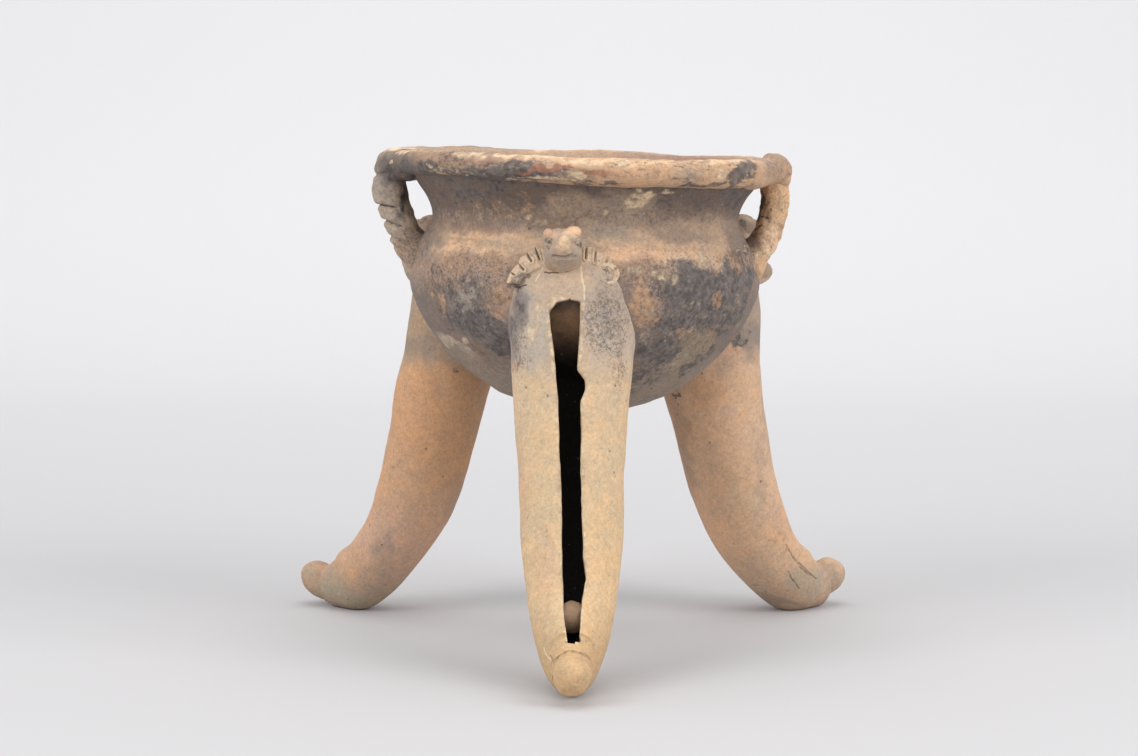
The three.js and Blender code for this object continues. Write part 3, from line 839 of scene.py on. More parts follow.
def head_piece(leg):
    """An animal's head with eye hollows, brows and a mouth, running into the clay under its chin."""
    points, round_points, faces = ball(HEAD_SIZE, 72, 96)
    cut = sum(dent(points, *each) for each in HEAD_DENTS)
    smile = -3.4 + 0.025 * (points[:, 1] - 1) ** 2
    on_face = (np.abs(points[:, 1] - 0.6) < MOUTH_HALF_WIDTH) * (points[:, 0] > 2)
    cut = cut + MOUTH_DEPTH * np.exp(-((points[:, 2] - smile) / MOUTH_HALF_HEIGHT) ** 2) * on_face
    corner = np.abs(round_points[:, 1]) * np.clip(round_points[:, 2], 0, 1) * HEAD_CORNERS
    jaw = smoothstep(0.1, -0.9, round_points[:, 2])
    swell = corner * HEAD_SIZE[1] + 0.25 * waves(points + leg["azimuth"], 71, 9) - cut
    points = points + round_points * swell[:, None]
    points[:, 1] *= 1 + JAW_WIDER * jaw
    points[:, 0] -= CHIN_BACK * jaw
    head_out = HEAD_OUT + leg["head_out"]
    out, side, height = (points + [head_out, HEAD_SIDE + leg["figure_side"], HEAD_HEIGHT]).T
    rise = out - clay_below(side, height, leg)
    spread = flared(rise, CHIN_BLEND, CHIN_SPREAD) * jaw
    points[:, 1:] += unit(points[:, 1:]) * spread[:, None]
    points = at_figure(points, leg, head_out, HEAD_SIDE, HEAD_HEIGHT)
    over, _, _ = over_skin(points)
    away = unit(points - points.mean(axis=0))
    points = points + away * flared(over, *HEAD_FLARE)[:, None]
    return piece(f"head_{leg['name']}_clay", sunk(points, FIGURE_SINK), faces, f"head_{leg['name']}")


def knob_piece(leg, name, node, at, size, seed):
    """A pressed-on pellet of a head: an ear or the snout."""
    points, round_points, faces = ball(size, 30, 44)
    points = points + round_points * (0.16 * waves(points + leg["azimuth"], seed, 4))[:, None]
    points = at_figure(points, leg, at[0] + leg["head_out"], HEAD_SIDE + at[1], at[2])
    return piece(name, sunk(points, FIGURE_SINK), faces, node)


def clay_below(side, height, leg):
    """How far out from the bowl's axis the bowl or the leg's top reaches, at places beside a head."""
    rows = OUTSIDE[:, 1].argsort()
    bowl_radius = np.interp(height, OUTSIDE[rows, 1], OUTSIDE[rows, 0])
    of_bowl = np.sqrt(np.maximum(bowl_radius**2 - side**2, 1))
    out, top, half_width, half_depth = LEG_STATIONS[0]
    above = np.clip(height - top, 0, None) / LEG_TOP_DOME
    share = np.clip(1 - (side / (half_width + leg["girth"])) ** 2 - above**2, 0, 1)
    from_leg_axis = out + (half_depth + leg["girth"]) * np.sqrt(share)
    of_leg = from_leg_axis - BOWL_X * math.cos(math.radians(leg["azimuth"]))
    return np.maximum(of_bowl, of_leg)


def polar(angle, radius):
    """A place round the middle of an arm's fan, from its angle in degrees."""
    return np.array([radius * math.cos(math.radians(angle)), radius * math.sin(math.radians(angle))])


def doubled_faces(rows, columns):
    """Faces of two open grids, one under the other, and of the border between them."""
    under = rows * columns
    upper = grid_faces(rows, columns, closed=False)
    faces = upper + [tuple(under + corner for corner in face[::-1]) for face in upper]
    border = list(range(columns))
    border += [row * columns + columns - 1 for row in range(1, rows)]
    border += [(rows - 1) * columns + i for i in range(columns - 2, -1, -1)]
    border += [row * columns for row in range(rows - 2, 0, -1)]
    for a, b in zip(border, border[1:] + border[:1]):
        faces.append((a, a + under, b + under, b))
    return faces


notch_gaps = {}


def arm_piece(leg, side, word):
    """A notched fan beside a head, low on the clay, with worn edges and pressed finger lines."""
    holds_lump = leg["lump"] and side * LUMP_AT[0] > 0
    last = ARM_TO + LUMP_TURN if holds_lump else ARM_TO
    angles = np.radians(np.linspace(ARM_FROM, last, ARM_COLUMNS))
    inner = 1 - ARM_EDGE_SHARE
    edge_rows = inner + ARM_EDGE_SHARE * np.sin(np.linspace(0.12, math.pi / 2, ARM_EDGE_ROWS))
    shares = np.concatenate([np.linspace(0, inner, ARM_ROWS), edge_rows])
    longest = np.interp(np.degrees(angles), *zip(*ARM_EDGES[side]))
    along_edge = np.column_stack([angles * 9, angles * 0, angles * 0]) + leg["azimuth"]
    longest = longest + 0.35 * waves(along_edge, 81, 3)
    radius = ARM_INNER_RADIUS + shares[:, None] * (longest[None, :] - ARM_INNER_RADIUS)
    across, upward = radius * np.cos(angles)[None, :], radius * np.sin(angles)[None, :]

    gap = np.full(radius.shape, FAR)
    for outer_end, inner_end in ARM_NOTCHES[side]:
        first = polar(*outer_end)
        run = polar(*inner_end) - first
        right, up = across - first[0], upward - first[1]
        along = np.clip((right * run[0] + up * run[1]) / (run @ run), 0, 1)
        gap = np.minimum(gap, np.hypot(right - along * run[0], up - along * run[1]))
    notch = NOTCH_DEPTH * np.exp(-(gap / NOTCH_HALF_WIDTH) ** 2)
    notch -= NOTCH_LIP_HEIGHT * np.exp(-((gap - NOTCH_LIP_AT) / NOTCH_LIP_HALF_WIDTH) ** 2)

    y = side * (ARM_CENTRE[0] - across)
    z = ARM_CENTRE[1] + upward
    edge = np.clip((longest[None, :] - radius) / ARM_EDGE_ROUND, 0, 1)
    from_end = (angles[-1] - angles)[None, :] * radius
    edge = np.minimum(edge, np.clip(from_end / ARM_EDGE_ROUND, 0, 1))
    drop = ARM_HEIGHT * (1 - np.sqrt(1 - (1 - edge) ** 2 * 0.999))
    from_lump = np.hypot(y - LUMP_AT[0], z - LUMP_AT[1]) / LUMP_HALF
    lump = leg["lump"] * np.sqrt(np.clip(1 - (from_lump / 1.25) ** 2, 0, 1)) * smoothstep(1.25, 1, from_lump)
    rise = smoothstep(0, 0.66, shares)[:, None] * (ARM_HEIGHT + ARM_SINK) - ARM_SINK
    x = clay_below(y + leg["figure_side"], z, leg) + rise - drop - notch + lump
    top = np.stack([x, y, z], axis=-1).reshape(-1, 3)
    top[:, 0] += 0.3 * waves(top, 82, 6) + 0.2 * waves(top, 83, 2.2)
    back = np.stack([x - ARM_HEIGHT - ARM_THICKNESS, y, z], axis=-1).reshape(-1, 3)
    points = sunk(at_figure(np.vstack([top, back]), leg, 0, 0, 0), ARM_WALL_SINK)
    node = f"arm_{leg['name']}_{word}"
    made = piece(f"{node}_clay", points, doubled_faces(*radius.shape), node)
    notch_gaps[made.name] = np.tile(gap.ravel(), 2)
    outward(made)
    return made


creases_of = {}


def handle_piece(word, stations, pinches, seed):
    """A bent strap of clay from the rim to the shoulder, with finger pinches across its outer side."""
    line = spaced(through(stations, 900), HANDLE_STEP)
    middle, out, _ = frames(line)
    angles = np.linspace(0, 2 * math.pi, HANDLE_AROUND, endpoint=False)
    half_width, half_depth = line[:, None, 2:3], line[:, None, 3:4]
    points = middle[:, None, :] + out[:, None, :] * (half_depth * np.cos(angles)[:, None])
    points = (points + SIDEWAYS * (half_width * np.sin(angles)[:, None])).reshape(-1, 3)
    facing = 1 if stations[-1][0] > 0 else -1
    outer_side = np.tile(smoothstep(*PINCHES_FADE_ROUND, facing * np.cos(angles)), len(line))
    outer_side = outer_side * smoothstep(*PINCHES_FADE_UP, np.repeat(middle[:, 2], HANDLE_AROUND))
    from_middle = points[:, 0] - np.repeat(middle[:, 0], HANDLE_AROUND)
    pinched = np.zeros(len(points))
    creases = np.zeros(len(points))
    for height, depth, width, slope, crease in pinches:
        apart = points[:, 2] - height - slope * from_middle
        fold = np.exp(-(apart / CREASE_HALF_WIDTH) ** 2) * outer_side
        pinched += depth * np.exp(-(apart / width) ** 2) * outer_side + crease * fold
        creases = np.maximum(creases, fold * min(crease, 1))
    points = np.vstack([points, middle[0], middle[-1] - [0, 0, 2.0]])
    pinched = np.append(pinched, [0, 0])
    made = piece(f"handle_{word}_clay", points, capped_faces(len(line), HANDLE_AROUND), f"handle_{word}")
    creases_of[made.name] = np.append(creases, [0, 0])
    outward(made)
    normals = normals_of(made)
    over, _, _ = over_skin(points)
    local = unseated(points)
    local_radius = np.hypot(local[:, 0], local[:, 1])
    from_lip = np.hypot(local_radius - LIP_MIDDLE[0], local[:, 2] - LIP_MIDDLE[1]) - LIP_HALF
    lumps = 0.45 * waves(points, seed, 13) + 0.2 * waves(points, seed + 1, 5)
    flare = flared(over, *HANDLE_FLARE) * (points[:, 2] < HANDLE_FLARE_BELOW)
    flare += flared(from_lip, *LIP_FLARE)
    reshape(made, sunk(points + normals * (lumps + flare - pinched)[:, None], HANDLE_SINK))
    return made


made_pieces = [bowl(), neck(), rim()]
made_pieces.append(handle_piece("left", LEFT_HANDLE, LEFT_HANDLE_PINCHES, 91))
made_pieces.append(handle_piece("right", RIGHT_HANDLE, RIGHT_HANDLE_PINCHES, 94))
for leg in LEGS:
    name = leg["name"]
    made_pieces += [leg_piece(leg), toe_piece(leg), pellet_piece(leg), head_piece(leg)]
    made_pieces.append(knob_piece(leg, f"snout_{name}_clay", f"snout_{name}", SNOUT_AT, SNOUT_SIZE, 101))
    for side, word in ((-1, "left"), (1, "right")):
        (ear_side, ear_height), ear_size = leg["ears"][0 if side < 0 else 1]
        made_pieces.append(knob_piece(
            leg, f"ear_{name}_{word}_clay", f"ear_{name}_{word}", (EAR_OUT, ear_side, ear_height),
            ear_size, 102 + side))
        made_pieces.append(arm_piece(leg, side, word))

# Painting: tones as the screen shows them, and marks placed by the photograph's pixels

TONES = {
    "sand": (209, 180, 142), "toe sand": (193, 164, 127), "yellow buff": (206, 178, 144),
    "grey buff": (184, 167, 150), "smoke grey": (128, 117, 111), "orange tan": (195, 154, 119),
    "pale tan": (204, 168, 137), "pink tan": (194, 157, 132), "grey tan": (162, 141, 121),
    "green grey": (158, 147, 128), "toe tan": (174, 149, 127), "shoulder": (184, 156, 130),
    "brown": (134, 116, 103), "orange brown": (163, 136, 116), "belly grey": (120, 106, 97),
    "low grey": (143, 129, 116), "neck dark": (104, 90, 81), "neck brown": (132, 113, 99),
    "olive tan": (150, 132, 108), "rim brown": (158, 132, 111), "rim buff": (188, 156, 127),
    "rim grey": (128, 112, 100), "inside buff": (172, 147, 124), "inside red": (147, 118, 103),
    "handle grey": (166, 149, 132), "handle dark": (112, 101, 93), "handle tan": (204, 167, 131),
    "head": (172, 152, 133), "head shade": (166, 148, 131), "snout": (214, 186, 156),
    "ear pink": (196, 161, 136), "arm": (206, 182, 158), "chest": (187, 164, 141),
    # The hollow tones are painted light and shade in a leg's hollow: lit near the slot's top, dark below
    "lit hollow": (146, 114, 84), "hollow shade": (78, 62, 50), "hollow deep shade": (30, 25, 22),
    "pellet": (222, 188, 156), "gold highlight": (216, 178, 145), "pale streak and highlight": (222, 198, 167),
}
# Layers over the tone: darker and lighter colour, lump size, spread of the noise, opacity
LAYERS = {
    # The soot layer also carries painted shade: under the lip, in creases, notches and eye hollows, down the
    # handles' inner sides, under the front arm and on the rear heads
    "soot": ((62, 57, 56), (114, 105, 101), 3.6, 4.6, 0.88),
    "ochre": ((146, 112, 86), (202, 162, 124), 4.2, 4.4, 0.8),
    "ash": ((132, 122, 112), (180, 167, 150), 3.2, 4.2, 0.8),
    "cream": ((186, 158, 128), (234, 210, 174), 3.6, 4.6, 0.9),
    "rust": ((138, 92, 72), (178, 126, 100), 4.0, 3.8, 0.85),
    "pepper": ((66, 60, 58), (104, 96, 92), 0.9, 4.2, 0.72),
}

# Each mark: tone or layer, across, down, half width, half height, turn, strength
LEFT_TOP_MARKS = [
    ("handle dark", 396, 168, 24, 17, 10, 1), ("soot", 403, 170, 26, 11, 15, 0.56),
    # the pale line along the top at 394, 148 is painted highlight
    ("pale streak and highlight", 394, 148, 24, 3.4, 0, 0.9),
]
LEFT_FOOT_MARKS = [
    ("brown", 427, 238, 16, 13, 20, 0.7), ("rim brown", 411, 252, 13, 20, -35, 0.85),
    ("pepper", 414, 250, 20, 24, 0, 0.45), ("ochre", 411, 262, 8, 13, -35, 0.42),
    ("soot", 424, 230, 8, 5, 30, 0.4),
]
RIGHT_TOP_MARKS = [
    ("orange brown", 778, 165, 18, 15, 0, 1), ("soot", 742, 172, 18, 10, -30, 0.85),
    ("soot", 752, 161, 12, 4, -8, 0.5), ("pepper", 776, 165, 14, 12, 0, 0.35),
    ("ochre", 774, 170, 14, 10, 0, 0.45),
]
RIGHT_FOOT_MARKS = [
    ("brown", 744, 243, 17, 12, 0, 0.9), ("soot", 752, 252, 11, 8, -30, 0.45),
    ("pepper", 757, 245, 18, 16, 0, 0.36), ("cream", 746, 250, 7, 2.5, -15, 0.6),
    ("ochre", 727, 252, 8, 9, 20, 0.6),
]
BOWL_MARKS = [
    # shoulder, with its band of gold painted highlight, and the brown at the left handle
    ("shoulder", 470, 248, 80, 9, 0, 0.8), ("shoulder", 680, 256, 90, 9, 3, 0.8),
    ("gold highlight", 465, 247, 36, 4.5, 3, 1), ("gold highlight", 650, 256, 56, 6, 3, 0.8),
    ("brown", 420, 250, 18, 14, 40, 0.7), ("brown", 738, 250, 14, 9, 0, 0.8),
    ("brown", 684, 238, 30, 5, 3, 0.7), ("gold highlight", 640, 243, 30, 3, 0, 0.4),
    # left belly
    ("orange brown", 470, 272, 44, 18, 0, 0.8), ("orange brown", 500, 300, 12, 26, 0, 0.9),
    ("ochre", 478, 262, 46, 12, 0, 0.42), ("ochre", 499, 296, 9, 20, 0, 0.6),
    ("ochre", 440, 304, 9, 15, -20, 0.48), ("ochre", 520, 268, 12, 10, 0, 0.4),
    ("soot", 462, 286, 22, 12, 15, 0.62), ("soot", 438, 280, 10, 20, -20, 0.45),
    ("soot", 490, 277, 38, 14, 0, 0.38), ("soot", 476, 322, 32, 17, 10, 0.86),
    ("soot", 500, 343, 14, 16, 0, 0.8), ("soot", 446, 314, 14, 11, 40, 0.55),
    ("ash", 466, 298, 10, 13, 15, 0.62), ("pale streak and highlight", 457, 345, 19, 4.4, 38, 1),
    ("ash", 457.5, 344.5, 19, 2.8, 38, 1), ("low grey", 470, 372, 60, 16, 38, 0.8),
    ("ash", 430, 335, 22, 3, 52, 0.5), ("soot", 492, 358, 18, 4, 30, 0.4),
    # right belly
    ("orange brown", 645, 292, 16, 44, 0, 0.8), ("ochre", 640, 296, 9, 30, 0, 0.78),
    ("ochre", 652, 322, 6, 10, 0, 0.6), ("soot", 695, 290, 44, 26, -4, 0.9),
    ("soot", 740, 272, 18, 26, 0, 0.78), ("soot", 655, 352, 24, 18, -20, 0.78),
    ("soot", 722, 322, 18, 14, -45, 0.7), ("soot", 690, 318, 40, 16, -10, 0.66),
    ("soot", 640, 378, 22, 12, -20, 0.5), ("soot", 700, 357, 30, 4, -42, 0.66),
    ("ochre", 718, 299, 6, 10, 10, 0.75), ("ochre", 687, 330, 18, 6, -20, 0.46),
    ("ochre", 712, 329, 10, 6, -30, 0.5), ("ochre", 738, 262, 13, 10, 20, 0.52),
    ("olive tan", 690, 352, 34, 13, -38, 0.8), ("cream", 664, 276, 20, 8, 8, 0.58),
    ("cream", 640, 268, 24, 6, 0, 0.55), ("cream", 700, 262, 30, 5, 3, 0.6),
    ("cream", 612, 272, 14, 9, 30, 0.5), ("ash", 732, 296, 2, 6, 0, 0.45),
    ("ash", 700, 300, 14, 10, 0, 0.3), ("ash", 678, 362, 20, 2.5, -38, 0.6),
    ("low grey", 690, 385, 60, 12, -38, 0.8), ("brown", 739, 308, 12, 32, 12, 0.8),
    ("soot", 739, 306, 8, 26, 12, 0.62), ("pepper", 470, 280, 60, 40, 0, 0.42),
    ("pepper", 690, 300, 70, 60, 0, 0.4), ("pepper", 650, 275, 50, 20, 0, 0.5),
    ("pepper", 480, 370, 60, 20, 38, 0.2), ("cream", 700, 315, 50, 30, 0, 0.2),
    ("ash", 480, 305, 46, 34, 0, 0.26), ("ash", 660, 330, 46, 40, 0, 0.24),
]
NECK_MARKS = [
    ("neck brown", 590, 222, 120, 10, 0, 0.8), ("grey tan", 570, 205, 30, 13, 0, 1),
    ("grey tan", 602, 226, 34, 8, 0, 0.9), ("grey tan", 620, 236, 90, 6, 3, 0.6),
    # the gold at 475, 238 is painted highlight, running on from the shoulder's band
    ("brown", 684, 237, 30, 6, 3, 0.7), ("gold highlight", 475, 238, 50, 4, 0, 0.6),
    ("soot", 470, 194, 34, 8, 0, 0.62), ("soot", 445, 208, 18, 14, 0, 0.4),
    ("soot", 690, 201, 44, 13, 0, 0.36), ("soot", 735, 196, 14, 14, 0, 0.5),
    # the thin dark line at 590, 184, just under the lip, is painted shadow
    ("soot", 655, 216, 22, 7, 0, 0.36), ("soot", 590, 184, 180, 3, 1, 0.85),
    ("grey tan", 625, 206, 34, 15, 0, 0.8), ("grey tan", 700, 226, 44, 8, 0, 0.7),
    ("brown", 742, 230, 18, 12, 0, 0.7), ("ochre", 490, 212, 34, 10, 0, 0.4),
    ("ochre", 520, 206, 20, 12, 0, 0.36), ("cream", 641, 200, 14, 9, 0, 0.85),
    ("cream", 668, 194, 16, 3, 0, 0.45), ("cream", 601, 213, 3, 2, 0, 0.7),
    ("ash", 470, 215, 30, 8, 0, 0.33), ("ochre", 672, 232, 12, 4, 40, 0.4),
    ("cream", 540, 221, 26, 5, 0, 0.34), ("pepper", 600, 210, 160, 26, 0, 0.3),
]
RIM_MARKS = [
    # the gold at 590, 163 is painted highlight on the lip's face
    ("rim grey", 490, 174, 100, 8, 2, 0.85), ("gold highlight", 590, 163, 56, 4, 2, 0.7),
    ("rim brown", 592, 172, 26, 7, 2, 0.6), ("rim buff", 545, 158, 24, 7, 2, 0.9),
    # the pale lines along the lip's top edge at 520, 155 and 680, 161 are painted highlight
    ("rim buff", 660, 168, 80, 14, 0, 0.6), ("pale streak and highlight", 520, 155, 90, 2.2, 3, 0.8),
    ("pale streak and highlight", 680, 161, 90, 2, 0, 0.6), ("soot", 484, 174, 92, 10, 2, 0.9),
    ("soot", 470, 160, 34, 4, 5, 0.56), ("soot", 520, 163, 34, 4, 4, 0.62),
    # the thin dark lines along the lip's lower edge at 600, 184.5 and 715, 184 are painted shadow
    ("soot", 600, 184.5, 34, 2.4, 1, 0.66), ("soot", 560, 178, 16, 5, 0, 0.4),
    ("soot", 715, 184, 40, 2.6, 0, 0.66), ("soot", 684, 178, 22, 3, -8, 0.34),
    ("rust", 548, 171, 30, 3.6, -4, 0.88), ("rust", 597, 173, 22, 4.4, 3, 0.7),
    ("rust", 500, 161, 40, 3, 4, 0.42), ("rust", 450, 158, 30, 3, 4, 0.36),
    ("cream", 455, 170, 28, 7, 4, 0.42), ("cream", 440, 154, 46, 2, 3, 0.45),
    ("cream", 572, 177, 14, 4, 0, 0.62), ("cream", 540, 181, 34, 2.5, 3, 0.5),
    ("cream", 724, 173, 7, 5, -40, 0.6), ("ochre", 640, 166, 50, 6, 0, 0.3),
    ("cream", 600, 163, 40, 4, 0, 0.42), ("ash", 682, 176, 26, 4, -6, 0.4),
    ("pepper", 670, 168, 90, 14, 0, 0.34), ("pepper", 470, 162, 80, 8, 2, 0.3),
]
HANDLE_MARKS = [
    # the dark down the left handle's inner side, at 406, 194, is painted shade
    ("handle dark", 406, 194, 6, 28, 12, 0.9), ("soot", 407, 192, 4.5, 26, 12, 0.75),
    ("cream", 391.5, 162, 2.6, 3.4, 0, 0.95), ("ash", 384, 193, 10, 10, 0, 0.36),
    ("ash", 392, 213, 12, 5, 4, 0.4), ("ash", 392, 228, 8, 6, 0, 0.4),
    # the gold at 771, 238, low on the right handle, is painted light
    ("gold highlight", 771, 238, 10, 15, 20, 0.85), ("ochre", 779, 176, 10, 12, 0, 0.4),
    # the dark down the right handle's inner side, at 763, 206, is painted shade
    ("soot", 763, 206, 5, 18, 4, 1.1), ("soot", 765, 218, 4, 3, 0, 0.62),
    ("soot", 757, 229, 6, 2, 0, 0.8), ("soot", 772, 187, 4, 1.4, 60, 0.6),
    ("cream", 764, 251, 6, 3, -30, 0.6), ("ochre", 776, 232, 8, 16, 30, 0.5),
    ("cream", 777, 158, 10, 4, 0, 0.3), ("pepper", 776, 208, 14, 24, 0, 0.34),
    # the pale mark at 770, 240, low on the right handle, is painted light
    ("pale streak and highlight", 770, 240, 8, 12, 20, 0.5), ("pepper", 392, 205, 18, 40, 0, 0.3),
]
LEG_MARKS = {
    "front": [
        ("chest", 562, 284, 34, 16, 0, 0.9), ("smoke grey", 516, 318, 10, 38, 4, 0.95),
        ("smoke grey", 608, 300, 20, 30, 0, 0.26), ("soot", 515, 318, 7, 34, 4, 0.42),
        ("pepper", 604, 322, 28, 38, 0, 0.5), ("pepper", 618, 356, 10, 40, 0, 0.44),
        ("ochre", 620, 356, 7, 12, 0, 0.4), ("pepper", 522, 345, 10, 34, 0, 0.42),
        # the thin dark line at 521, 287 under the left arm is painted shadow
        ("pepper", 612, 280, 12, 8, 0, 0.4), ("soot", 521, 287, 8, 2.4, -10, 0.8),
        ("pepper", 570, 560, 60, 120, 0, 0.14), ("pepper", 565, 282, 26, 14, 0, 0.16),
        ("ochre", 519, 365, 4, 6, 0, 0.6), ("cream", 538, 322, 8, 26, 8, 0.5),
        ("cream", 545, 300, 8, 8, 0, 0.55), ("cream", 566, 300, 18, 3.5, 0, 0.8),
        ("cream", 550, 330, 3, 26, 4, 0.62), ("ash", 600, 322, 22, 26, 0, 0.36),
        ("yellow buff", 600, 400, 24, 18, 0, 0.8), ("grey buff", 530, 345, 12, 30, 0, 0.6),
        ("pink tan", 545, 575, 12, 50, 0, 0.3), ("pink tan", 520, 500, 6, 90, 0, 0.3),
        ("cream", 560, 640, 30, 8, 0, 0.3),
    ],
    "rear_left": [
        ("grey tan", 415, 325, 24, 30, 0, 0.9), ("ochre", 421, 325, 6, 18, 0, 0.4),
        ("orange tan", 400, 410, 26, 50, 0, 0.6), ("orange tan", 352, 560, 20, 16, -40, 0.7),
        ("pink tan", 372, 545, 16, 26, 40, 0.6), ("toe tan", 312, 575, 13, 12, 0, 0.9),
        ("green grey", 309, 572, 8, 7, 0, 0.5), ("green grey", 330, 585, 12, 9, 0, 0.6),
        ("ochre", 360, 556, 12, 9, -40, 0.3), ("smoke grey", 384, 542, 8, 14, 30, 0.3),
        ("green grey", 345, 596, 26, 8, 20, 0.7), ("smoke grey", 420, 345, 30, 6, 0, 0.4),
        ("soot", 455, 368, 4, 2, -40, 0.6), ("soot", 481, 385, 3, 2, -40, 0.7),
        ("ochre", 395, 480, 10, 40, 20, 0.3), ("smoke grey", 455, 500, 12, 30, 20, 0.25),
        ("soot", 470, 352, 18, 5, 38, 0.45),
    ],
    "rear_right": [
        # the brown at 680, 440 darkens the leg's inner edge with painted shade
        ("grey tan", 748, 310, 14, 40, 0, 0.6), ("brown", 680, 440, 9, 70, -12, 0.35),
        ("soot", 739, 343, 7, 6, -30, 0.85), ("soot", 744, 336, 4, 9, 30, 0.6),
        ("smoke grey", 752, 340, 10, 20, 0, 0.5), ("pink tan", 728, 355, 16, 12, 0, 0.6),
        ("orange tan", 708, 395, 18, 18, 0, 0.7), ("soot", 677, 400, 2, 4, 0, 0.7),
        ("orange tan", 735, 500, 22, 40, -30, 0.4), ("pink tan", 776, 520, 12, 26, -30, 0.4),
        ("yellow buff", 745, 512, 16, 30, -25, 0.4), ("toe tan", 830, 574, 13, 12, 0, 0.9),
        ("green grey", 806, 580, 16, 14, 0, 0.6), ("ochre", 780, 545, 12, 16, -20, 0.4),
        ("brown", 782, 601, 30, 4, 10, 0.45), ("smoke grey", 725, 370, 12, 10, 0, 0.25),
        ("smoke grey", 762, 440, 5, 80, 4, 0.2), ("soot", 768, 590, 24, 3, 24, 0.3),
    ],
}
FIGURE_MARKS = [
    ("head shade", 561, 260, 20, 8, 0, 0.8), ("head shade", 545, 250, 6, 12, 0, 0.6),
    # the dark in the eye hollows at 549, 242 and 577.5, 241.5 is painted shade
    ("soot", 549, 242, 4, 2.2, 0, 0.5), ("soot", 577.5, 241.5, 3, 3, 0, 0.52),
    ("chest", 562, 271, 26, 5, 0, 1), ("pepper", 549, 244, 6, 5, 0, 0.5),
    ("ear pink", 548, 233, 6, 6, 0, 0.9), ("snout", 566, 246.5, 5, 7, 0, 1),
    ("snout", 574, 231, 9, 6, 0, 0.9), ("cream", 566, 243, 6, 8, 0, 0.4),
    ("ash", 520, 279, 14, 6, -30, 0.5), ("pepper", 519, 280, 14, 7, -30, 0.62),
    ("soot", 607, 279, 10, 4, 30, 0.45), ("pepper", 607, 274, 14, 8, 30, 0.5),
    ("pepper", 561, 262, 20, 8, 0, 0.25), ("cream", 608, 267, 12, 7, 30, 0.62),
    ("cream", 590, 258, 8, 8, 0, 0.4), ("cream", 534, 270, 6, 10, 30, 0.5),
    # the brown and dark on the rear heads between handle and neck, at 748, 228, 741, 226 and 424, 226, are
    # painted shade
    ("brown", 748, 228, 16, 10, 0, 0.9), ("soot", 741, 226, 5, 9, 0, 0.5),
    ("brown", 765, 268, 12, 14, 0, 0.7), ("brown", 424, 226, 14, 16, 0, 0.9),
]


def linear(colour):
    """The linear values of colours that the screen shows."""
    share = np.clip(np.asarray(colour, float) / 255, 0, 1)
    return np.where(share <= 0.04045, share / 12.92, ((share + 0.055) / 1.055) ** 2.4)


ACROSS, DOWN = 0, 1


def toned(axis, stops):
    """A ground whose tone changes across or down: each stop gives a pixel and the tone reached there."""
    at = [stop for stop, _ in stops]
    colours = np.array([TONES[name] for _, name in stops], float)
    return lambda spots: np.stack([np.interp(spots[:, axis], at, colours[:, k]) for k in range(3)], axis=1)


def spots_of(points):
    """Where the photograph shows points of the vessel, wandering a little, as smoke and wear do."""
    spots = pixels(points)
    spots[:, 0] += 3.5 * waves(points, 201, 14) + 1.5 * waves(points, 202, 5)
    spots[:, 1] += 3.0 * waves(points, 203, 14) + 1.5 * waves(points, 204, 5)
    return spots


def reach(spots, mark):
    """How strongly a mark covers each spot: full in its middle, fading across its edge."""
    _, across, down, half_width, half_height, turn, strength = mark
    cosine, sine = math.cos(math.radians(turn)), math.sin(math.radians(turn))
    right, lower = spots[:, 0] - across, spots[:, 1] - down
    along = (right * cosine + lower * sine) / half_width
    over = (lower * cosine - right * sine) / half_height
    return strength * (1 - smoothstep(0.5, 1.45, np.hypot(along, over)))


def painted(made, ground, marks, linings=()):
    """Gives a piece its tone and layers at each vertex. A lining is a ground and where it covers all else."""
    spots = spots_of(points_of(made))
    tone = ground(spots) if callable(ground) else np.tile(np.array(TONES[ground], float), (len(spots), 1))
    layers = {name: np.zeros(len(spots)) for name in LAYERS}
    for mark in marks:
        cover = reach(spots, mark)
        if mark[0] in layers:
            layers[mark[0]] = np.maximum(layers[mark[0]], cover)
        else:
            tone = tone + cover[:, None] * (np.array(TONES[mark[0]]) - tone)
    for lining, lined in linings:
        tone = tone + lined[:, None] * (lining(spots) - tone)
        for name in LAYERS:
            layers[name] = layers[name] * (1 - lined)
    stored = made.data.attributes.new("tone", "FLOAT_COLOR", "POINT")
    stored.data.foreach_set("color", np.column_stack([linear(tone), np.ones(len(tone))]).ravel())
    for name in LAYERS:
        stored = made.data.attributes.new(name, "FLOAT", "POINT")
        stored.data.foreach_set("value", layers[name])


def strengthen(made, name, more):
    """Raises a layer of a painted piece to at least these values."""
    stored = made.data.attributes[name].data
    values = np.empty(len(stored))
    stored.foreach_get("value", values)
    stored.foreach_set("value", np.maximum(values, more))


# A noise texture's scale, times the length of its lumps
NOISE_LUMP = 0.62


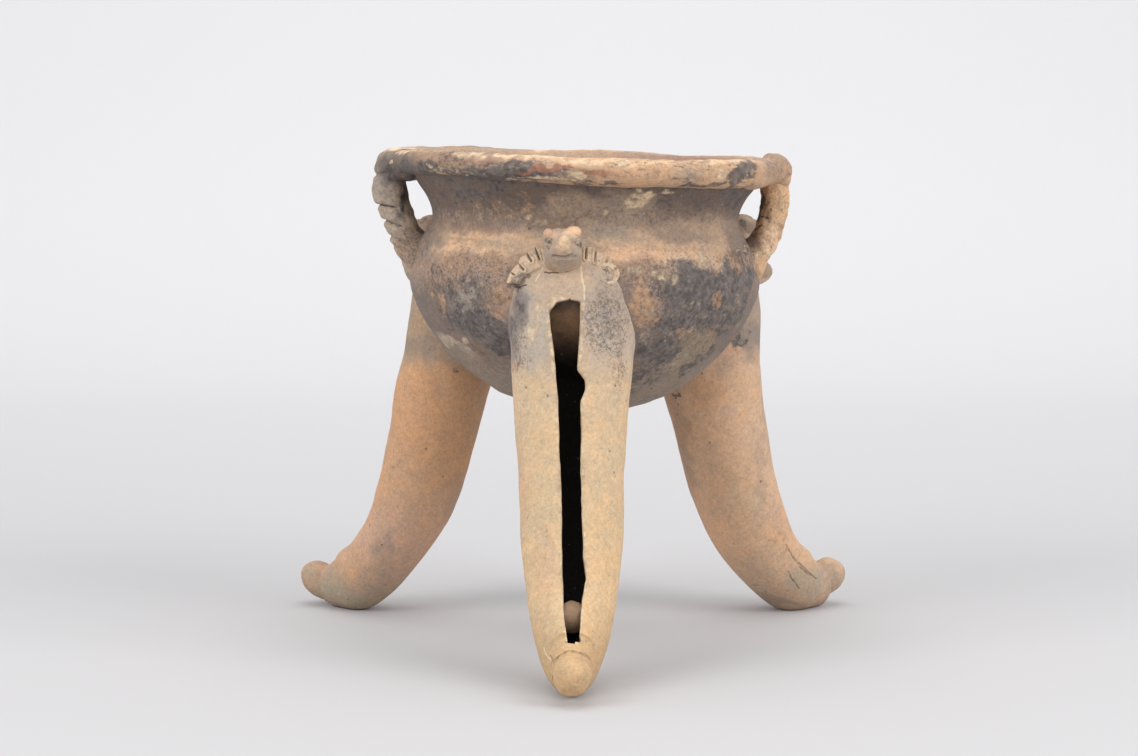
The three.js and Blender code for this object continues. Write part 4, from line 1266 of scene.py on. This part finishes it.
class Nodes:
    """Shorthand for building a material out of nodes."""

    def __init__(self, name):
        self.material = bpy.data.materials.new(name)
        self.material.use_nodes = True
        self.tree = self.material.node_tree
        self.shader = self.tree.nodes["Principled BSDF"]
        self.place = self.tree.nodes.new("ShaderNodeTexCoord").outputs["Object"]

    def add(self, kind, values, output=0, **settings):
        made = self.tree.nodes.new(kind)
        for name, value in settings.items():
            setattr(made, name, value)
        for socket, value in values.items():
            if isinstance(value, bpy.types.NodeSocket):
                self.tree.links.new(value, made.inputs[socket])
            else:
                made.inputs[socket].default_value = value
        return made.outputs[output]

    def attribute(self, name, output):
        return self.add("ShaderNodeAttribute", {}, output, attribute_name=name)

    def noise(self, size, detail=4.0, roughness=0.6, place=None, output=0):
        """Noise with lumps about that many millimetres long."""
        scale = NOISE_LUMP / (size * MM)
        values = {"Vector": place or self.place, "Scale": scale, "Detail": detail, "Roughness": roughness}
        return self.add("ShaderNodeTexNoise", values, output)

    def vector(self, operation, first, second, output="Vector"):
        """A step of vector arithmetic. A vector is scaled by a number."""
        values = {0: first, "Scale" if operation == "SCALE" else 1: second}
        return self.add("ShaderNodeVectorMath", values, output, operation=operation)

    def wandering(self, size, reach_out):
        """The place, moved about by noise of that size, at most that many millimetres."""
        swing = self.vector("SUBTRACT", self.noise(size, 2.0, output="Color"), (0.5, 0.5, 0.5))
        return self.vector("ADD", self.place, self.vector("SCALE", swing, 2 * reach_out * MM))

    def sum(self, value, gain, more):
        """The value times the gain, plus more."""
        return self.add("ShaderNodeMath", {0: value, 1: gain, 2: more}, operation="MULTIPLY_ADD")

    def times(self, value, other):
        return self.add("ShaderNodeMath", {0: value, 1: other}, operation="MULTIPLY")

    def step(self, value, low, high, to=1.0):
        values = {"Value": value, "From Min": low, "From Max": high, "To Max": to}
        return self.add("ShaderNodeMapRange", values, interpolation_type="SMOOTHSTEP")

    def blend(self, share, first, second):
        made = self.tree.nodes.new("ShaderNodeMix")
        made.data_type = "RGBA"
        for socket, value in ((0, share), (6, first), (7, second)):
            if isinstance(value, bpy.types.NodeSocket):
                self.tree.links.new(value, made.inputs[socket])
            else:
                made.inputs[socket].default_value = value
        return made.outputs[2]


def colour_of(screen):
    return (*linear(screen), 1)


def clay_at(made, across, down):
    """The place in the row's frame, and its normal, where a piece shows at a pixel of the photograph."""
    points, normals = points_of(made), normals_of(made)
    toward = CAMERA_AT - points - LEG_AXIS_AT
    gap = np.hypot(*(pixels(points) - [across, down]).T)
    gap[(normals * toward).sum(axis=1) <= 0] = np.inf
    near = gap.argsort()[:8]
    distance = np.linalg.norm(toward[near], axis=1)
    front = near[distance < distance.min() + 8][:3]
    weight = 1 / (gap[front] + 0.2)
    weight /= weight.sum()
    return weight @ points[front] + LEG_AXIS_AT, unit(weight @ normals[front])


STROKE_REACH = 7.0
STROKE_LOOKS = {
    # colour, opacity, how far it stands out in the bump; the dark colours of cuts, cracks and folds are
    # painted shade in their grooves
    "cut": ((84, 66, 54), 0.85, -0.9),
    "crack": ((104, 86, 72), 0.6, -0.7),
    "fold": ((164, 130, 98), 0.6, -0.9),
    "scrape": ((228, 204, 172), 0.85, 0.15),
}


def stroke(nodes, place, start, end, half_width):
    """Where a thin straight mark runs over the clay between two places on it. Each has its normal."""
    normal = unit(start[1] + end[1])
    run = end[0] - start[0]
    run = (run - (run @ normal) * normal) * MM
    from_start = nodes.vector("SUBTRACT", place, start[0] * MM)
    depth = nodes.vector("DOT_PRODUCT", from_start, normal, "Value")
    flat = nodes.vector("SUBTRACT", from_start, nodes.vector("SCALE", normal, depth))
    along = nodes.vector("DOT_PRODUCT", flat, run / (run @ run), "Value")
    foot = nodes.vector("SCALE", run, nodes.add("ShaderNodeClamp", {"Value": along}))
    gap = nodes.vector("DISTANCE", flat, foot, "Value")
    near = nodes.step(gap, half_width * MM * 1.3, half_width * MM * 0.3)
    shallow = nodes.add("ShaderNodeMath", {0: depth, 1: 0.0, 2: STROKE_REACH * MM}, operation="COMPARE")
    return nodes.times(near, shallow)


# Thin marks: piece, kind, half width in millimetres, and the pixels of the photograph that they pass through
LEG_STROKES = [
    ("leg_front_clay", "cut", 0.36, [(544, 271.6), (550, 272.6), (558, 272.4), (567, 271.8)]),
    ("leg_front_clay", "scrape", 0.5, [(581, 263), (581.6, 274), (583.6, 285), (584.4, 299)]),
    ("leg_front_clay", "scrape", 0.45, [(543, 268), (539, 275), (535.5, 282)]),
    # the dark cut under the arm, at 514 to 527, 287, is painted shadow with a groove in the bump
    ("leg_front_clay", "cut", 0.5, [(514, 287), (520, 286.6), (527, 285.2)]),
    ("leg_front_clay", "scrape", 0.5, [(543.6, 648), (547, 655), (551, 660.5)]),
    ("leg_front_clay", "crack", 0.3, [(550.6, 655), (553, 662)]),
    ("leg_front_clay", "fold", 0.8, [
        (553.6, 662), (558, 657), (565, 652.8), (573, 651), (581, 653.5), (590, 659.5)]),
    ("leg_front_clay", "cut", 0.7, [(552.6, 676), (553.2, 680)]),
    ("leg_rear_right_clay", "crack", 0.5, [(785.6, 544.7), (790, 552), (793.3, 558), (798.2, 564.4)]),
    ("leg_rear_right_clay", "crack", 0.55, [(799.5, 566.5), (805.9, 572.8), (810.5, 575.4)]),
    ("leg_rear_right_clay", "crack", 0.5, [(787, 572), (793, 580), (799, 588)]),
]
FIGURE_STROKES = [
    # the mouth's dark line under the snout is painted shadow
    ("head_front_clay", "crack", 0.4, [(552.5, 254.6), (560, 255.8), (571, 254.6)]),
]


WARM_TINT = (1.07, 0.985, 0.9)
COOL_TINT = (0.96, 1.0, 1.05)
DOT = (74, 62, 54)
GLINT = (228, 212, 190)
# The colour in the pits is painted shade
PIT_SHADE = (72, 56, 46)
PIT_SPACING = 7


def clay(name, mottle, grain, specks, roughness, relief, strokes=(), stretch=(1, 1, 1)):
    """Fired clay: painted tones and layers broken up by noise, with grain, dark specks, pits darkened with
    painted shade, and bump.
    """
    nodes = Nodes(name)
    wide = nodes.noise(22, 3, 0.5)
    middle = nodes.noise(5, 5, 0.62)
    fine = nodes.noise(1.7, 3, 0.6)
    sand = nodes.noise(0.8, 1, 0.5)

    tone = nodes.attribute("tone", "Color")
    light = nodes.sum(middle, 2 * mottle, 1 - mottle)
    light = nodes.sum(fine, grain, light)
    light = nodes.sum(sand, grain, light)
    light = nodes.sum(light, 1.0, -grain)
    colour = nodes.vector("SCALE", tone, light)
    warm = nodes.vector("MULTIPLY", colour, WARM_TINT)
    cool = nodes.vector("MULTIPLY", colour, COOL_TINT)
    colour = nodes.blend(nodes.step(nodes.sum(middle, 0.5, nodes.times(wide, 0.5)), 0.34, 0.66), cool, warm)

    stretched = nodes.vector("MULTIPLY", nodes.place, stretch)
    crusts = {}
    for layer, (dark, pale, size, spread, opacity) in LAYERS.items():
        weight = nodes.attribute(layer, "Fac")
        patches = nodes.noise(size, 7, 0.84, stretched)
        cover = nodes.sum(patches, spread, nodes.sum(weight, 1.5, -0.25 - spread / 2))
        cover = nodes.times(nodes.step(cover, 0.22, 0.78, opacity), nodes.step(weight, 0.02, 0.2))
        paler = nodes.step(nodes.sum(fine, 0.6, nodes.times(middle, 0.4)), 0.36, 0.66)
        colour = nodes.blend(cover, colour, nodes.blend(paler, colour_of(dark), colour_of(pale)))
        crusts[layer] = cover

    dots = nodes.step(nodes.noise(1.3, 2, 0.5), 0.64, 0.74, specks)
    colour = nodes.blend(dots, colour, colour_of(DOT))
    glints = nodes.step(nodes.noise(1.1, 2, 0.5), 0.67, 0.78, specks * 0.8)
    colour = nodes.blend(glints, colour, colour_of(GLINT))

    cells = nodes.tree.nodes.new("ShaderNodeTexVoronoi")
    nodes.tree.links.new(nodes.place, cells.inputs["Vector"])
    cells.inputs["Scale"].default_value = 1 / (PIT_SPACING * MM)
    chosen = nodes.step(cells.outputs["Color"], 0.7, 0.72)
    pit = nodes.times(nodes.step(cells.outputs["Distance"], 0.13, 0.04), chosen)
    # the pits are darkened with painted shade
    colour = nodes.blend(nodes.times(pit, 0.6), colour, colour_of(PIT_SHADE))

    place = nodes.wandering(2.5, 0.9) if strokes else None
    reliefs = []
    for piece_name, kind, half_width, spots in strokes:
        shade, opacity, stands_out = STROKE_LOOKS[kind]
        places = [clay_at(by_name[piece_name], *spot) for spot in spots]
        for start, end in zip(places, places[1:]):
            mark = stroke(nodes, place, start, end, half_width)
            broken = nodes.times(mark, nodes.step(fine, 0.3, 0.5, opacity))
            colour = nodes.blend(broken, colour, colour_of(shade))
            reliefs.append((mark, stands_out))
    nodes.tree.links.new(colour, nodes.shader.inputs["Base Color"])

    rough = nodes.sum(middle, 0.3, roughness - 0.15)
    rough = nodes.sum(crusts["soot"], -0.12, rough)
    nodes.tree.links.new(rough, nodes.shader.inputs["Roughness"])

    height = nodes.sum(middle, 0.5, nodes.times(fine, 0.28))
    height = nodes.sum(sand, 0.12, height)
    height = nodes.sum(crusts["cream"], 0.18, height)
    height = nodes.sum(pit, -0.5, height)
    for mark, stands_out in reliefs:
        height = nodes.sum(mark, stands_out, height)
    normal = nodes.add("ShaderNodeBump", {"Height": height, "Distance": relief * MM, "Strength": 0.9})
    nodes.tree.links.new(normal, nodes.shader.inputs["Normal"])
    return nodes.material


by_name = {made.name: made for made in made_pieces}
CLAYS = {
    "leg_clay": clay("leg_clay", 0.17, 0.42, 0.26, 0.84, 0.6, LEG_STROKES),
    "sooty_clay": clay("sooty_clay", 0.3, 0.6, 0.4, 0.76, 0.7),
    "rim_clay": clay("rim_clay", 0.26, 0.5, 0.4, 0.8, 0.7, stretch=(0.45, 0.45, 1)),
    "handle_clay": clay("handle_clay", 0.26, 0.5, 0.35, 0.84, 0.9),
    "figure_clay": clay("figure_clay", 0.2, 0.4, 0.25, 0.86, 0.8, FIGURE_STROKES),
    "pellet_clay": clay("pellet_clay", 0.16, 0.3, 0.2, 0.86, 0.5),
}


def dressed(name, ground, marks, slot, linings=()):
    """Paints a piece and gives it its clay."""
    made = by_name[name]
    painted(made, ground, marks, linings)
    made.data.materials.append(CLAYS[slot])
    return made


# Heights of the bowl's outside that the legs' hollows show, and half the hollow's width there, where the bowl
# takes the hollow's painted shade
HOLLOW_ON_BOWL = (128, 181)
HOLLOW_HALF_WIDTH = (19, 22)
# Between which depths the wall's inner side begins, and radii where the lip turns to the mouth
INNER_SIDE_FROM = (-2, -4)
MOUTH_SIDE_FROM = (86.5, 83.5)


def behind_slots(points):
    """Where the bowl's outside closes off the hollow of a leg, which is painted with the hollow's shade."""
    covered = np.zeros(len(points))
    low, high = HOLLOW_ON_BOWL
    narrow, wide = HOLLOW_HALF_WIDTH
    for leg in LEGS:
        turn = math.radians(leg["azimuth"])
        out = points[:, 0] * math.cos(turn) + points[:, 1] * math.sin(turn)
        side = points[:, 1] * math.cos(turn) - points[:, 0] * math.sin(turn)
        inside = (out > 0) & (points[:, 2] > low) & (points[:, 2] < high)
        covered = np.maximum(covered, inside * smoothstep(wide, narrow, np.abs(side)))
    return covered


def inner_side(made):
    height, _, _ = over_skin(points_of(made))
    return smoothstep(*INNER_SIDE_FROM, height)


def mouth_side(made):
    """Where the lip faces the mouth."""
    local = unseated(points_of(made))
    return smoothstep(*MOUTH_SIDE_FROM, np.hypot(local[:, 0], local[:, 1]))


# The inside of the mouth is buff on the left and redder on the right. A leg's hollow is painted with light
# and shade: lit near its top, dark to black below.
INSIDE_GROUND = toned(ACROSS, [
    (420, "inside buff"), (570, "inside buff"), (680, "inside red"), (760, "inside buff")])
HOLLOW_SHADE_GROUND = toned(DOWN, [
    (290, "hollow deep shade"), (304, "hollow shade"), (314, "lit hollow"), (334, "lit hollow"), (352, "hollow shade"),
    (368, "hollow deep shade")])
BOWL_GROUND = toned(DOWN, [
    (244, "shoulder"), (262, "orange brown"), (300, "belly grey"), (350, "belly grey"), (385, "low grey")])
NECK_GROUND = toned(DOWN, [(202, "neck dark"), (222, "neck brown"), (240, "shoulder")])
RIM_GROUND = toned(ACROSS, [(500, "rim brown"), (560, "rim buff")])
LEG_GROUNDS = {
    "front": toned(DOWN, [
        (262, "chest"), (300, "grey buff"), (352, "grey buff"), (385, "yellow buff"), (520, "sand"),
        (600, "sand"), (655, "toe sand")]),
    "rear_left": toned(DOWN, [
        (330, "grey tan"), (356, "grey tan"), (372, "orange tan"), (480, "orange tan"), (540, "pink tan"),
        (600, "grey tan")]),
    "rear_right": toned(DOWN, [(330, "grey tan"), (360, "pale tan"), (545, "pale tan"), (610, "toe tan")]),
}

# Strengths of the painted shade in creases and notches, carried by the soot layer, of the pale edges beside
# notches, and of the painted highlight along the slots' edges
CREASE_SHADE = 1.1
NOTCH_SHADE = 0.85
NOTCH_SHADE_HALF_WIDTH = 0.4
NOTCH_EDGE_CREAM = 0.8
NOTCH_EDGE_AT = 1.2
NOTCH_EDGE_HALF_WIDTH = 0.7
SLOT_EDGE_HIGHLIGHT = 0.62
SLOT_HIGHLIGHT_FADES = (0.8, 3)

dressed(
    "bowl_shell", BOWL_GROUND, BOWL_MARKS + LEFT_FOOT_MARKS + RIGHT_FOOT_MARKS, "sooty_clay",
    [
        (HOLLOW_SHADE_GROUND, behind_slots(points_of(by_name["bowl_shell"]))),
        (INSIDE_GROUND, inner_side(by_name["bowl_shell"])),
    ])
dressed(
    "neck_collar", NECK_GROUND, NECK_MARKS + LEFT_FOOT_MARKS + RIGHT_FOOT_MARKS, "sooty_clay",
    [(INSIDE_GROUND, inner_side(by_name["neck_collar"]))])
dressed(
    "rim_lip", RIM_GROUND, RIM_MARKS + LEFT_TOP_MARKS + RIGHT_TOP_MARKS, "rim_clay",
    [(INSIDE_GROUND, mouth_side(by_name["rim_lip"]))])
for word, ground, marks in (
        ("left", "handle grey", LEFT_TOP_MARKS + LEFT_FOOT_MARKS),
        ("right", "handle tan", RIGHT_TOP_MARKS + RIGHT_FOOT_MARKS)):
    handle = dressed(f"handle_{word}_clay", ground, marks + HANDLE_MARKS, "handle_clay")
    # the creases are darkened with painted shade
    strengthen(handle, "soot", CREASE_SHADE * creases_of[handle.name])
for leg in LEGS:
    name = leg["name"]
    leg_made = dressed(
        f"leg_{name}_clay", LEG_GROUNDS[name], LEG_MARKS[name], "leg_clay",
        [(HOLLOW_SHADE_GROUND, hollow_shade_shares[name])])
    # a painted highlight along the slot's rounded edges
    edge_highlight = 1 - smoothstep(*SLOT_HIGHLIGHT_FADES, slot_distances[name])
    strengthen(leg_made, "cream", SLOT_EDGE_HIGHLIGHT * edge_highlight)
    dressed(f"toe_{name}_clay", LEG_GROUNDS[name], LEG_MARKS[name], "leg_clay")
    dressed(f"pellet_{name}_clay", "pellet", [], "pellet_clay")
    dressed(f"head_{name}_clay", "head", FIGURE_MARKS, "figure_clay")
    dressed(f"snout_{name}_clay", "snout", FIGURE_MARKS, "figure_clay")
    for word in ("left", "right"):
        ear_tone = "ear pink" if name == "front" else "head"
        dressed(f"ear_{name}_{word}_clay", ear_tone, FIGURE_MARKS, "figure_clay")
        arm = dressed(f"arm_{name}_{word}_clay", "arm", FIGURE_MARKS, "figure_clay")
        gaps = notch_gaps[arm.name]
        beside = np.exp(-((gaps - NOTCH_EDGE_AT) / NOTCH_EDGE_HALF_WIDTH) ** 2)
        strengthen(arm, "cream", NOTCH_EDGE_CREAM * beside)
        # painted shade in the notches
        strengthen(arm, "soot", NOTCH_SHADE * np.exp(-(gaps / NOTCH_SHADE_HALF_WIDTH) ** 2))

# Floor, light and camera

FLOOR_FRONT = -3.5
SWEEP_START = 1.0
SWEEP_RADIUS = 1.0
SWEEP_TOP = 3.2
STAGE_HALF_WIDTH = 4.5

bend = np.radians(np.linspace(0, 90, 40))
sweep = [(FLOOR_FRONT, 0.0), (-1.0, 0.0), (0.0, 0.0)]
sweep += [(SWEEP_START + SWEEP_RADIUS * math.sin(a), SWEEP_RADIUS * (1 - math.cos(a))) for a in bend]
sweep += [(SWEEP_START + SWEEP_RADIUS, z) for z in np.linspace(SWEEP_RADIUS + 0.2, SWEEP_TOP, 6)]
floor_mesh = bpy.data.meshes.new("floor")
floor_points = [(x, y, z) for y, z in sweep for x in (-STAGE_HALF_WIDTH, STAGE_HALF_WIDTH)]
floor_mesh.from_pydata(floor_points, [], grid_faces(len(sweep), 2, closed=False))
floor_mesh.shade_smooth()
floor = bpy.data.objects.new("floor", floor_mesh)
bpy.context.scene.collection.objects.link(floor)

FLOOR_COLOUR = (0.555, 0.545, 0.55, 1)
BACKDROP_COLOUR = (0.83, 0.816, 0.822, 1)
# Distances behind the vessel, in metres, between which the paper turns paler: painted light, for the backdrop
# that is lit brighter than the floor
PALER_FROM = 0.1
PALER_TO = 1.6

paper = Nodes("paper")
behind = paper.add("ShaderNodeSeparateXYZ", {0: paper.place}, "Y")
paper_colour = paper.blend(paper.step(behind, PALER_FROM, PALER_TO), FLOOR_COLOUR, BACKDROP_COLOUR)
paper.tree.links.new(paper_colour, paper.shader.inputs["Base Color"])
paper.shader.inputs["Roughness"].default_value = 0.9
floor.data.materials.append(paper.material)

ROOM_COLOUR = (0.96, 0.98, 1, 1)
ROOM_STRENGTH = 0.7

world = bpy.data.worlds.new("room")
bpy.context.scene.world = world
world.use_nodes = True
world.node_tree.nodes["Background"].inputs["Color"].default_value = ROOM_COLOUR
world.node_tree.nodes["Background"].inputs["Strength"].default_value = ROOM_STRENGTH


def lamp(name, place, aim, size, power):
    """A square lamp that shines from its place at what it aims at."""
    light = bpy.data.lights.new(name, "AREA")
    light.energy = power
    light.size = size
    made = bpy.data.objects.new(name, light)
    bpy.context.scene.collection.objects.link(made)
    made.location = place
    direction = np.array(aim) - np.array(place)
    made.rotation_euler = (
        math.acos(-direction[2] / np.linalg.norm(direction)), 0,
        math.atan2(direction[1], direction[0]) - math.pi / 2)


lamp("left_box", (-1.3, -0.9, 1.1), (0, 0, 0.12), 1.0, 14)
lamp("right_box", (1.3, -0.8, 1.1), (0, 0, 0.12), 1.0, 15)
lamp("top_box", (0, 0.1, 1.8), (0, 0, 0.1), 1.3, 10.5)

camera = bpy.data.cameras.new("camera")
camera.sensor_width = FILM_WIDTH
camera.lens = FOCAL_PIXELS / IMAGE_WIDTH * FILM_WIDTH
camera_object = bpy.data.objects.new("camera", camera)
bpy.context.scene.collection.objects.link(camera_object)
camera_object.location = CAMERA_AT * MM
camera_object.rotation_euler = (math.pi / 2 - CAMERA_PITCH, 0, 0)
bpy.context.scene.camera = camera_object
bpy.context.scene.view_settings.view_transform = "Standard"
